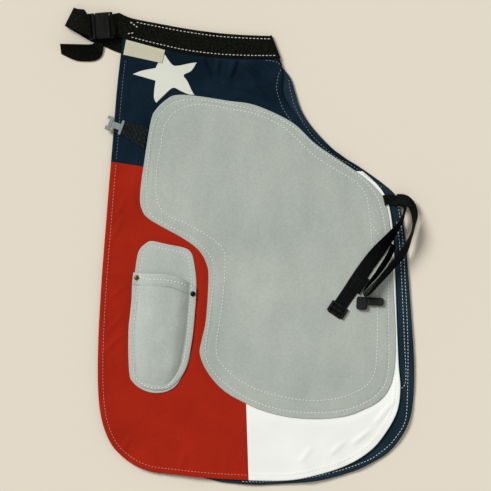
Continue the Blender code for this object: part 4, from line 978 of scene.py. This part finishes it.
def make_yoke(near_leaf, far_leaf):
    yoke = dressed_sheet(
        "yoke_cloth", "yoke", [near_leaf, far_leaf], NAVY,
    )
    verts, arc = fold_arc(REST_LIFT + NEAR_FACE + CLOTH, REST_LIFT, CLOTH)
    add_to(yoke, verts, arc)
    return yoke


def make_patches():
    """The suede patch of each leg: edge rounded and ragged, a stitch furrow, a faint swell inside it."""
    points, faces = mesh_points(patch_line, [], 0.0050, PATCH_RINGS)
    depth = distance(points, patch_line)
    base = ground(points) + ON_FACE + relief(points)
    top = base + SUEDE - rounded(depth, PATCH_EDGE) - furrow(depth, PATCH_STITCH_DEPTH, 0.0014, 0.00045)
    top = top + 0.00025 * (1 + middling(points)) * step_up(depth, 0.002, 0.02)
    top = top + 0.00035 * quick(points * 2.3) * (depth < PATCH_EDGE)
    near = dressed_sheet(
        "patch_over", "patch_near", [(points, faces, base, top)], GREY_SUEDE,
    )
    outline = patch_line + np.array(FAR_PATCH_SHIFT) * (APRON_WIDTH, APRON_LENGTH)
    points, faces = mesh_points(outline, [], 0.012, (0.0005, 0.0013, 0.003, 0.0115, 0.0305))
    depth = distance(points, outline)
    leaf = (points, faces, rounded(depth, 0.0008), np.full(len(points), SUEDE))
    dressed_sheet(
        "patch_under", "patch_far", [leaf], GREY_SUEDE
    )
    return near


def small_sheet(name, node, outline, level, thickness, finish):
    """A small flat piece on the near leg's face."""
    points, faces = mesh_points(outline, [], 0.003, (0.0004, 0.0012, 0.003))
    base = ground(points) + level + relief(points)
    top = base + thickness - rounded(distance(points, outline), 0.0006)
    return dressed_sheet(name, node, [(points, faces, base, top)], finish)


def make_small_pieces():
    """The star, the label and the short side strap. Returns the label."""
    small_sheet(
        "star_cloth", "star", smooth_outline(STAR), ON_FACE, CLOTH, STAR_WHITE,
    )
    label = small_sheet(
        "label_cloth_piece", "label", smooth_outline(LABEL), ON_FACE + CLOTH + CLEARANCE, CLOTH,
        LABEL_CLOTH,
    )
    small_sheet(
        "side_webbing", "side_strap", smooth_outline(SIDE_STRAP), ON_FACE, STRAP_WEBBING, SIDE_WEB,
    )
    return label


def pouch_surface(steps_along, steps_across):
    """Grid of the pouch's underside: plan points and rises, from mouth to toe."""
    rows = smooth_rows(POUCH, steps_along)
    shares = smooth_rows([tuple(r) for r in POUCH_CROSS], steps_across)
    plan, rise = [], []
    for u0, v0, u1, v1, lift, arched in rows:
        a, b = place([(u0, v0)])[0], place([(u1, v1)])[0]
        seam = POCKET_SEAM / np.linalg.norm(b - a)
        across = [(0.0, 0.0), (seam * 0.25, 0.0), (seam * 0.5, 0.0), (seam * 0.8, 0.0)]
        across += [(seam + t * (1 - 2 * seam), max(s, 0.0)) for t, s in shares]
        across += [(1 - seam * 0.8, 0.0), (1 - seam * 0.5, 0.0), (1 - seam * 0.25, 0.0), (1.0, 0.0)]
        arch = [(0, arched * POUCH_ARCH * math.sin(math.pi * t**POUCH_ARCH_LEAN)) for t, _ in across]
        plan.append([a + (b - a) * t + up for (t, _), up in zip(across, arch)])
        rise.append([s * max(lift, 0.0) * POCKET_DEPTH for _, s in across])
    return np.array(plan), np.array(rise)


def grid_shell(plan, low, high):
    """A closed wall between two height grids over the same plan points."""
    rows, count = low.shape
    flat = plan.reshape(-1, 2)
    verts = np.concatenate([np.column_stack([flat, high.ravel()]), np.column_stack([flat, low.ravel()])])
    total = rows * count
    faces = []
    for j in range(rows - 1):
        for i in range(count - 1):
            a = j * count + i
            quad = (a, a + 1, a + count + 1, a + count)
            faces.append(quad[::-1])
            faces.append(tuple(k + total for k in quad))
    ring = list(range(count)) + [j * count + count - 1 for j in range(1, rows)]
    ring += [(rows - 1) * count + i for i in range(count - 2, -1, -1)]
    ring += [j * count for j in range(rows - 2, 0, -1)]
    for a, b in zip(ring, ring[1:] + ring[:1]):
        faces.append((a, b, b + total, a + total))
    return verts, faces


def fix_normals(obj):
    work = bmesh.new()
    work.from_mesh(obj.data)
    bmesh.ops.recalc_face_normals(work, faces=work.faces)
    work.to_mesh(obj.data)
    work.free()


def suede_shell(name, node, plan, low, high):
    """A suede piece over a grid of plan points, placed under the root body."""
    verts, faces = grid_shell(plan, low, high)
    obj = add_mesh(name, verts, faces, POCKET_SUEDE)
    fix_normals(obj)
    ride(obj)
    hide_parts(node)
    return obj


def make_pocket():
    """The pocket's back, its pouch and the turned hem of the mouth."""
    points, faces = mesh_points(pocket_line, [], 0.004, (0.0005, 0.0013, 0.003, 0.006, 0.0088, 0.011))
    depth = distance(points, pocket_line)
    base = ground(points) + ON_FACE + relief(points)
    top = base + SUEDE - rounded(depth, 0.0006) - furrow(depth, POCKET_STITCH_DEPTH, 0.0013)
    back = dressed_sheet(
        "pocket_back_suede", "pocket_back", [(points, faces, base, top)], POCKET_SUEDE,
    )
    plan, rise = pouch_surface(POUCH_STEPS, 4)
    base = PATCH_TOP + rise
    flat = plan.reshape(-1, 2)
    wobble = (0.0007 * middling(flat * 1.3) * np.clip(rise.ravel() / 0.006, 0, 1)).reshape(rise.shape)
    edge = distance(flat, np.concatenate([plan[:, 0], plan[::-1, -1]]), False).reshape(rise.shape)
    high = base + SUEDE + wobble - rounded(edge, 0.0008) - furrow(edge, POCKET_STITCH_DEPTH, 0.0014)
    low = base + np.minimum(wobble, 0)
    pouch = suede_shell("pocket_pouch_suede", "pocket_pouch", plan, low, high)
    plan, rise = plan[: POUCH_STEPS + 1], rise[: POUCH_STEPS + 1]
    base = PATCH_TOP + rise + SUEDE + CLEARANCE
    flat = plan.reshape(-1, 2)
    edge = distance(flat, np.concatenate([plan[0], plan[-1][::-1]])).reshape(rise.shape)
    high = base + SUEDE * 0.9 - rounded(edge, 0.0011) + 0.0002 * middling(flat * 2).reshape(rise.shape)
    band = suede_shell("pocket_hem_suede", "pocket_hem", plan, base, high)
    return back, pouch, band


# Rivet, in millimetres: radius, height
RIVET_PROFILE = table("4.5 0, 4.6 .25, 4.4 .5, 3.9 .55, 3.7 .45, 3.5 .5, 3.2 .9, 2.4 1.25, 1.2 1.5, 0 1.6")
RIVET_SIDES = 32


def make_rivets():
    for name, finish, slot in (("rivet_left", BRASS, "brass"), ("rivet_right", BLACK_METAL, "black_metal")):
        low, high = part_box(name)
        x, y = (low[0] + high[0]) / 2, (low[1] + high[1]) / 2
        verts = []
        for radius, lift in RIVET_PROFILE[:-1]:
            out, level = radius * 1e-3, low[2] + lift * 1e-3
            for k in range(RIVET_SIDES):
                angle = 2 * math.pi * k / RIVET_SIDES
                verts.append((x + out * math.cos(angle), y + out * math.sin(angle), level))
        verts.append((x, y, low[2] + RIVET_PROFILE[-1][1] * 1e-3))
        faces = tube_faces(len(RIVET_PROFILE) - 1, RIVET_SIDES)
        last = (len(RIVET_PROFILE) - 2) * RIVET_SIDES
        faces += [(last + k, last + (k + 1) % RIVET_SIDES, len(verts) - 1) for k in range(RIVET_SIDES)]
        faces.append(tuple(range(RIVET_SIDES))[::-1])
        cap = ride(add_mesh(name + "_cap", verts, faces, finish))
        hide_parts(name)


# Webbing

# Share of the width, share of the full thickness
WEB_PROFILE = table("0 .45, .012 .8, .04 1, .15 1, .32 1, .5 1, .68 1, .85 1, .96 1, .988 .8, 1 .45")


def strap(name, sections, thickness, finish):
    """A closed band of webbing with soft edges; its UVs are metres across and along."""
    count = len(WEB_PROFILE)
    ring = 2 * count
    verts, faces, uvs = [], [], []
    along = 0.0
    for n, (a, b, up) in enumerate(sections):
        half = up.normalized() * thickness / 2
        if n:
            before = sections[n - 1]
            along += ((a + b) / 2 - (before[0] + before[1]) / 2).length
        width = (b - a).length
        for side in (1, -1):
            profile = WEB_PROFILE if side == 1 else WEB_PROFILE[::-1]
            for t, full in profile:
                verts.append(a.lerp(b, t) + half * side * full)
                uvs.append((t * width, along))
    for n in range(len(sections) - 1):
        for k in range(ring):
            j = (k + 1) % ring
            faces.append((n * ring + k, n * ring + j, (n + 1) * ring + j, (n + 1) * ring + k))
    faces.append(tuple(range(ring))[::-1])
    faces.append(tuple((len(sections) - 1) * ring + k for k in range(ring)))
    obj = add_mesh(name, verts, faces, finish)
    layer = obj.data.uv_layers.new(name="across_along")
    for loop in obj.data.loops:
        layer.data[loop.index].uv = uvs[loop.vertex_index]
    fix_normals(obj)
    return obj


def edge_sections(rows, height):
    made = []
    for row in rows:
        a, b = spot(row[:2]), spot(row[2:4])
        made.append((Vector((*a, height)), Vector((*b, height)), Vector((0, 0, 1))))
    return made


def turn_over(a, b, start, end, side):
    """Sections of a band that turns over the line from a to b and comes back at another height."""
    axis = (b - a).normalized()
    outward = Vector((-axis.y, axis.x)) * side
    if side * outward.x < 0:
        outward = -outward
    steps = 14
    made = []
    for k in range(1, steps):
        angle = math.pi * k / steps
        lift = (start - end) / 2 * math.cos(angle)
        out = outward * abs(start - end) / 2 * math.sin(angle)
        shift = Vector((out.x, out.y, (start + end) / 2 + lift))
        up = Vector((out.x, out.y, lift))
        made.append((Vector((a.x, a.y, 0)) + shift, Vector((b.x, b.y, 0)) + shift, up))
    return made


def wrap(a, b, middle, toward, steps=14):
    """Sections of a band round a buckle bar: over the top, and back below on the same side."""
    radius = BUCKLE_BAR / 2 + CLEARANCE + BELT_WEBBING / 2
    made = []
    for k in range(steps + 1):
        angle = math.pi / 2 + math.pi * k / steps
        reach, lift = -radius * math.cos(angle), radius * math.sin(angle)
        shift = Vector((toward.x * reach, toward.y * reach, middle + lift))
        up = Vector((toward.x * reach, toward.y * reach, lift))
        made.append((Vector((a.x, a.y, 0)) + shift, Vector((b.x, b.y, 0)) + shift, up))
    return made


def buckle_frame():
    start, end = spot(PRONG_BAR), spot(SOCKET_BAR)
    middle = 2 * BELT_WEBBING + 3 * CLEARANCE + BUCKLE_THICKNESS / 2
    return middle, math.atan2(end.y - start.y, end.x - start.x)


def finer(sections, steps=3):
    """More sections between each two, on straight lines: for stretches that are straight anyway."""
    made = []
    for (a0, b0, u0), (a1, b1, u1) in zip(sections, sections[1:]):
        for k in range(steps):
            t = k / steps
            made.append((a0.lerp(a1, t), b0.lerp(b1, t), u0.lerp(u1, t)))
    made.append(sections[-1])
    return made


def make_belt():
    middle, turn = buckle_frame()
    along = Vector((math.cos(turn), math.sin(turn)))
    across = Vector((-math.sin(turn), math.cos(turn))) * BELT_WIDTH / 2
    socket, prong = spot(SOCKET_BAR), spot(PRONG_BAR)
    tuck = along * BELT_TUCK
    low_end = middle - BUCKLE_BAR / 2 - CLEARANCE - BELT_WEBBING / 2

    def flat_section(centre, height, up):
        a, b = centre + across, centre - across
        return (Vector((*a, height)), Vector((*b, height)), Vector((0, 0, up)))

    sections = [flat_section(socket + tuck, low_end, -1)]
    sections += list(reversed(wrap(socket + across, socket - across, middle, -along)))
    sections.append(flat_section(socket + tuck, 2 * middle - low_end, 1))
    near_height = FACE_TOP + BELT_WEBBING / 2
    near = smooth_rows(NEAR_BELT, 6)
    sections += edge_sections(near, near_height)
    fold = NEAR_BELT[-1]
    sections += turn_over(spot(fold[:2]), spot(fold[2:]), near_height, BELT_WEBBING / 2, 1)
    far = [(a, b, -up) for a, b, up in edge_sections(smooth_rows(FAR_BELT, 5), BELT_WEBBING / 2)]
    left = [(a, b, -up) for a, b, up in edge_sections([BELT_LEFT_FOLD], BELT_WEBBING / 2)]
    sections += far[:-1] + finer([far[-1]] + left)
    a, b = spot(BELT_LEFT_FOLD[:2]), spot(BELT_LEFT_FOLD[2:])
    sections += turn_over(a, b, BELT_WEBBING / 2, LEFT_FOLD_HEIGHT, -1)
    over = edge_sections([BELT_LEFT_FOLD], LEFT_FOLD_HEIGHT)
    over += edge_sections([BELT_OVER_LEFT], OVER_LEFT_HEIGHT)
    sections += finer(over)
    sections += wrap(prong + across, prong - across, middle, along)
    sections.append(flat_section(prong - tuck, low_end, -1))
    belt = ride(strap("belt_webbing", sections, BELT_WEBBING, BLACK_WEB))
    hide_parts("waist_belt")
    tail = []
    for row in smooth_rows(TAIL, 7):
        a, b = spot(row[:2]), spot(row[2:4])
        upper = Vector((*a, BELT_WEBBING / 2 + CLEARANCE + row[4] * BELT_WIDTH))
        lower = Vector((*b, BELT_WEBBING / 2 + CLEARANCE + row[5] * BELT_WIDTH))
        way = upper - lower
        up = way.cross(Vector((-way.y, way.x, 0)))
        tail.append((upper, lower, up if up.z > 0 else -up))
    loose = ride(strap("belt_loose_end", tail, BELT_WEBBING, BLACK_WEB))
    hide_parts("belt_tail")
    return belt, loose


def ribbon_sections(rows, steps, base):
    path = smooth_rows(rows, steps)
    middle = [Vector((*spot(r), base + r[2] * STRAP_WIDTH)) for r in path]
    sections = []
    for i, row in enumerate(path):
        ahead = middle[min(i + 1, len(middle) - 1)] - middle[max(i - 1, 0)]
        ahead.z = 0
        ahead.normalize()
        side = Vector((-ahead.y, ahead.x, 0))
        roll = math.radians(row[3])
        across = (side * math.cos(roll) + Vector((0, 0, 1)) * math.sin(roll)) * STRAP_WIDTH * row[4] / 2
        up = Vector((0, 0, 1)) * math.cos(roll) - side * math.sin(roll)
        sections.append((middle[i] + across, middle[i] - across, up))
    return sections


def make_leg_straps():
    base = PATCH_TOP + STRAP_WEBBING / 2
    for name, node, rows in (
        ("leg_strap_webbing", "leg_strap", LEG_STRAP),
        ("leg_loop_webbing", "leg_strap_loop", LEG_STRAP_LOOP),
        ("leg_strap_end", "leg_strap_tail", LEG_STRAP_TAIL),
    ):
        obj = ride(strap(name, ribbon_sections(rows, 8, base), STRAP_WEBBING, STRAP_WEB))
        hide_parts(node)


# Stitches

# Rows of stitches, in pixels of the photograph
PATCH_DART = "371 224.3, 375.5 230.5, 380.4 236.8"
POCKET_HEM_ROW = "140 276.5, 148.5 279.2, 158 279.4, 168 280.3, 182.4 283.3, 188.5 287.5"
BELT_END_ROWS = ("130.8 22.4, 135.2 25.6, 139.8 29", "128.2 34, 132 33.4, 136.4 32.7")
CROTCH_ROWS = (
    "265.8 60.5, 274.5 61.5, 278.5 63.5, 281.9 66.5",
    """280.9 69.9, 278.5 75.2, 277.2 81.9, 276.5 88.6, 278.5 97.3, 281.9 106.7, 286.6 114.8,
    291.5 121.5""",
    "288.9 79.9, 289.9 88.6, 293.3 102, 296.6 110.7, 302 120.8, 307.3 129.5",
    "307.3 129.5, 312.7 136.5, 325 148.5, 338 158.5, 350 164.5, 366 176, 384 189",
)
FAR_LEG_ROWS = (
    """398 206, 400.5 222, 402.6 240.4, 404.6 274.8, 406.2 303.5, 407.2 326.5, 407.8 350.8,
    407.6 380, 406.8 407.4, 405.3 419.5, 402.4 427.2, 397 435.5, 388 446.3, 372.7 457.8,
    360 463.5, 345 469, 330 473""",
    "396.5 222, 399.0 240.4, 401.2 274.8, 402.6 303.5, 404.2 340, 405.6 380, 400.2 389.2",
    "330 473, 310 477.5, 285 480.6, 262 481.8, 240 481.4",
)
# Place along the stitch, share of the radius, and height in radii
STITCH_RINGS = table("-.5 .35 -.55, -.4 .85 -.05, -.15 1 .18, .15 1 .18, .4 .85 -.05, .5 .35 -.55")
STITCH_SIDES = 6


def stitch_shape():
    """One stitch: a short bar of thread with ends that dive into the cloth, in its own frame."""
    verts = []
    for at, radius, lift in STITCH_RINGS:
        for k in range(STITCH_SIDES):
            angle = 2 * math.pi * k / STITCH_SIDES
            verts.append((at, radius * math.cos(angle), lift + radius * math.sin(angle)))
    faces = tube_faces(len(STITCH_RINGS), STITCH_SIDES)
    faces.append(tuple(range(STITCH_SIDES))[::-1])
    faces.append(tuple((len(STITCH_RINGS) - 1) * STITCH_SIDES + k for k in range(STITCH_SIDES)))
    return np.array(verts), faces


STITCH_VERTS, STITCH_FACES = stitch_shape()


def stitches(name, rows, under, finish):
    """Rows of stitches laid on the pieces under them. A row is (line, pitch, length, width)."""
    trees = [tree_of(obj.data) for obj in under]
    verts, faces = [], []

    def height(x, y):
        best = None
        for tree in trees:
            hit = tree.ray_cast(Vector((x, y, 0.1)), Vector((0, 0, -1)))[0]
            if hit is not None and (best is None or hit.z > best):
                best = hit.z
        return best

    for line, pitch, length, width in rows:
        along = length_along(line)
        count = int((along[-1] - length) / pitch) + 1
        for n in range(count):
            at = length / 2 + n * pitch
            x, y = (np.interp(at, along, line[:, k]) for k in (0, 1))
            x0, y0 = (np.interp(at - length * 0.4, along, line[:, k]) for k in (0, 1))
            x1, y1 = (np.interp(at + length * 0.4, along, line[:, k]) for k in (0, 1))
            z, z0, z1 = height(x, y), height(x0, y0), height(x1, y1)
            if z is None or z0 is None or z1 is None:
                continue
            way = Vector((x1 - x0, y1 - y0, z1 - z0)).normalized()
            side = Vector((-way.y, way.x, 0)).normalized()
            up = way.cross(side) * -1
            if up.z < 0:
                up = -up
            slant = 1 + 0.10 * rng.uniform(-1, 1)
            axes = np.array([way * length * slant, side * width / 2, up * width / 2])
            first = len(verts)
            centre = np.array((x, y, z + width * 0.18))
            verts += list(STITCH_VERTS @ axes + centre)
            faces += [tuple(i + first for i in f) for f in STITCH_FACES]
    obj = add_mesh(name, verts, faces, finish)
    return ride(obj)


def run(line, first, last):
    """The part of a closed line between its points nearest two pixels, in its own direction."""
    ends = [int(np.argmin(np.linalg.norm(line - photo([p])[0], axis=1))) for p in (first, last)]
    i, j = ends
    if j <= i:
        j += len(line)
    return np.array([line[k % len(line)] for k in range(i, j + 1)])


def resampled(line, step=0.0015):
    """A line divided into even steps."""
    along = length_along(line)
    want = np.linspace(0, along[-1], max(2, int(along[-1] / step)))
    return np.stack([np.interp(want, along, line[:, k]) for k in (0, 1)], axis=1)


def drawn(text):
    """A smooth line through pixels of the photograph."""
    return smooth_line(photo(table(text)))


def closed_row(outline, depth):
    """An evenly divided closed line inside an outline."""
    ring = inset(outline, depth)
    return resampled(np.vstack([ring, ring[:1]]))


def make_stitches(near, far, patch, pocket, belt, label):
    near_hem = inset(near_line, HEM_STITCH_DEPTH)
    on_navy = resampled(run(near_hem, (118, 60), (111, 160)))
    on_red = resampled(run(near_hem, (111, 164), (247, 476)))
    on_white = resampled(run(near_hem, (251, 477), (389, 215)))
    stitches("stitches_navy_edge", [(on_navy, *NAVY_EDGE_STITCH)], near, DARK_THREAD)
    stitches("stitches_red_edge", [(on_red, *HEM_STITCH)], near, RED_HEM_THREAD)
    stitches("stitches_white_edge", [(on_white, *HEM_STITCH)], near, GREY_THREAD)
    rows = [(drawn(row), *HEM_STITCH) for row in CROTCH_ROWS]
    stitches("stitches_crotch", rows, near + far, DARK_THREAD)
    rows = [(drawn(row), *HEM_STITCH) for row in FAR_LEG_ROWS]
    stitches("stitches_far_leg", rows, far, GREY_THREAD)
    rows = [(drawn(row), *SUEDE_STITCH) for row in (*PATCH_ROWS, PATCH_DART)]
    stitches("stitches_patch", rows, patch, GREY_THREAD)
    rows = [(closed_row(pocket_line, POCKET_STITCH_DEPTH), *SUEDE_STITCH)]
    rows.append((drawn(POCKET_HEM_ROW), *POCKET_HEM_STITCH))
    stitches("stitches_pocket", rows, pocket, GREY_THREAD)
    rows = []
    dense = smooth_rows(NEAR_BELT, 12)
    for share, first in ((0.135, 26), (0.865, 25)):
        line = [place([r[:2]])[0] * (1 - share) + place([r[2:4]])[0] * share for r in dense[first:]]
        rows.append((resampled(np.array(line)), *BELT_STITCH))
    rows += [(drawn(row), *BELT_END_STITCH) for row in BELT_END_ROWS]
    stitches("stitches_belt", rows, belt, PALE_THREAD)
    rows = [(closed_row(smooth_outline(LABEL, 0.002), 0.0016), *LABEL_STITCH)]
    stitches("stitches_label", rows, label, PALE_THREAD)


# Hard parts


def rounded_copy(node, name, finish, width=0.0005, segments=2):
    """A copy of a hard CAD node with its flat faces merged and every edge rounded."""
    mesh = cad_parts[node].data.copy()
    work = bmesh.new()
    work.from_mesh(mesh)
    bmesh.ops.remove_doubles(work, verts=work.verts, dist=1e-5)
    bmesh.ops.dissolve_limit(work, angle_limit=math.radians(3), verts=work.verts, edges=work.edges)
    sharp = [e for e in work.edges if len(e.link_faces) == 2 and e.calc_face_angle(0) > math.radians(25)]
    bmesh.ops.bevel(
        work, geom=sharp, offset=width, segments=segments, affect="EDGES", profile=0.5, clamp_overlap=True
    )
    bmesh.ops.recalc_face_normals(work, faces=work.faces)
    for face in work.faces:
        face.smooth = True
    work.to_mesh(mesh)
    work.free()
    mesh.name = name
    mesh.materials.clear()
    mesh.materials.append(finish)
    obj = bpy.data.objects.new(name, mesh)
    bpy.context.scene.collection.objects.link(obj)
    obj.modifiers.new("even_normals", "WEIGHTED_NORMAL")
    ride(obj)
    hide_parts(node)
    return obj


def make_hard_parts():
    rounded_copy("buckle_socket", "buckle_socket_shell", BLACK_PLASTIC, 0.0004)
    rounded_copy("buckle_prongs", "buckle_prongs_body", BLACK_PLASTIC, 0.0004)
    rounded_copy("side_prong", "side_prong_body", GREY_PLASTIC, 0.0006)
    rounded_copy("leg_prong", "leg_prong_body", DARK_PLASTIC, 0.0016, 3)
    rounded_copy("strap_slider", "strap_slider_frame", BLACK_PLASTIC, 0.0005)


# Scene


def make_stage():
    mesh = bpy.data.meshes.new("floor")
    far = FLOOR_REACH
    mesh.from_pydata([(-far, -far, 0), (far, -far, 0), (far, far, 0), (-far, far, 0)], [], [(0, 1, 2, 3)])
    floor = bpy.data.objects.new("floor", mesh)
    bpy.context.scene.collection.objects.link(floor)
    finish, tree, shader = new_material("floor_paper", (0.745, 0.680, 0.565), 0.9, specular=0.1)
    mesh.materials.append(finish)
    floor.location.z = FLOOR_LEVEL
    return floor


def make_light():
    world = bpy.data.worlds.new("studio")
    world.use_nodes = True
    back = world.node_tree.nodes["Background"]
    back.inputs["Color"].default_value = (1.0, 0.995, 0.985, 1)
    back.inputs["Strength"].default_value = SKY_LEVEL
    bpy.context.scene.world = world
    sun = bpy.data.lights.new("window_side", "SUN")
    sun.angle = math.radians(SUN_SPREAD)
    toward = Vector(SUN_FROM).normalized()
    sun.energy = SUN_LEVEL * math.pi / toward.z
    obj = bpy.data.objects.new("window_side", sun)
    obj.location = toward * 3
    obj.rotation_euler = toward.to_track_quat("Z", "Y").to_euler()
    bpy.context.scene.collection.objects.link(obj)


def make_camera():
    lens = bpy.data.cameras.new("overhead")
    lens.sensor_width = SENSOR
    lens.lens = SENSOR * CAMERA_HEIGHT / VIEW_WIDTH
    eye = bpy.data.objects.new("overhead", lens)
    eye.location = (*VIEW_MIDDLE, CAMERA_HEIGHT)
    bpy.context.scene.collection.objects.link(eye)
    bpy.context.scene.camera = eye


def main():
    panels, near_yoke = make_near_leg()
    lining, far_yoke = make_far_leg()
    yoke = make_yoke(near_yoke, far_yoke)
    patch = make_patches()
    label = make_small_pieces()
    pocket = make_pocket()
    belt, _ = make_belt()
    make_leg_straps()
    make_rivets()
    make_hard_parts()
    make_stitches([*panels, yoke], [lining], [patch], list(pocket), [belt], [label])
    make_stage()
    make_light()
    make_camera()
    bpy.context.scene.view_settings.view_transform = "Standard"


main()
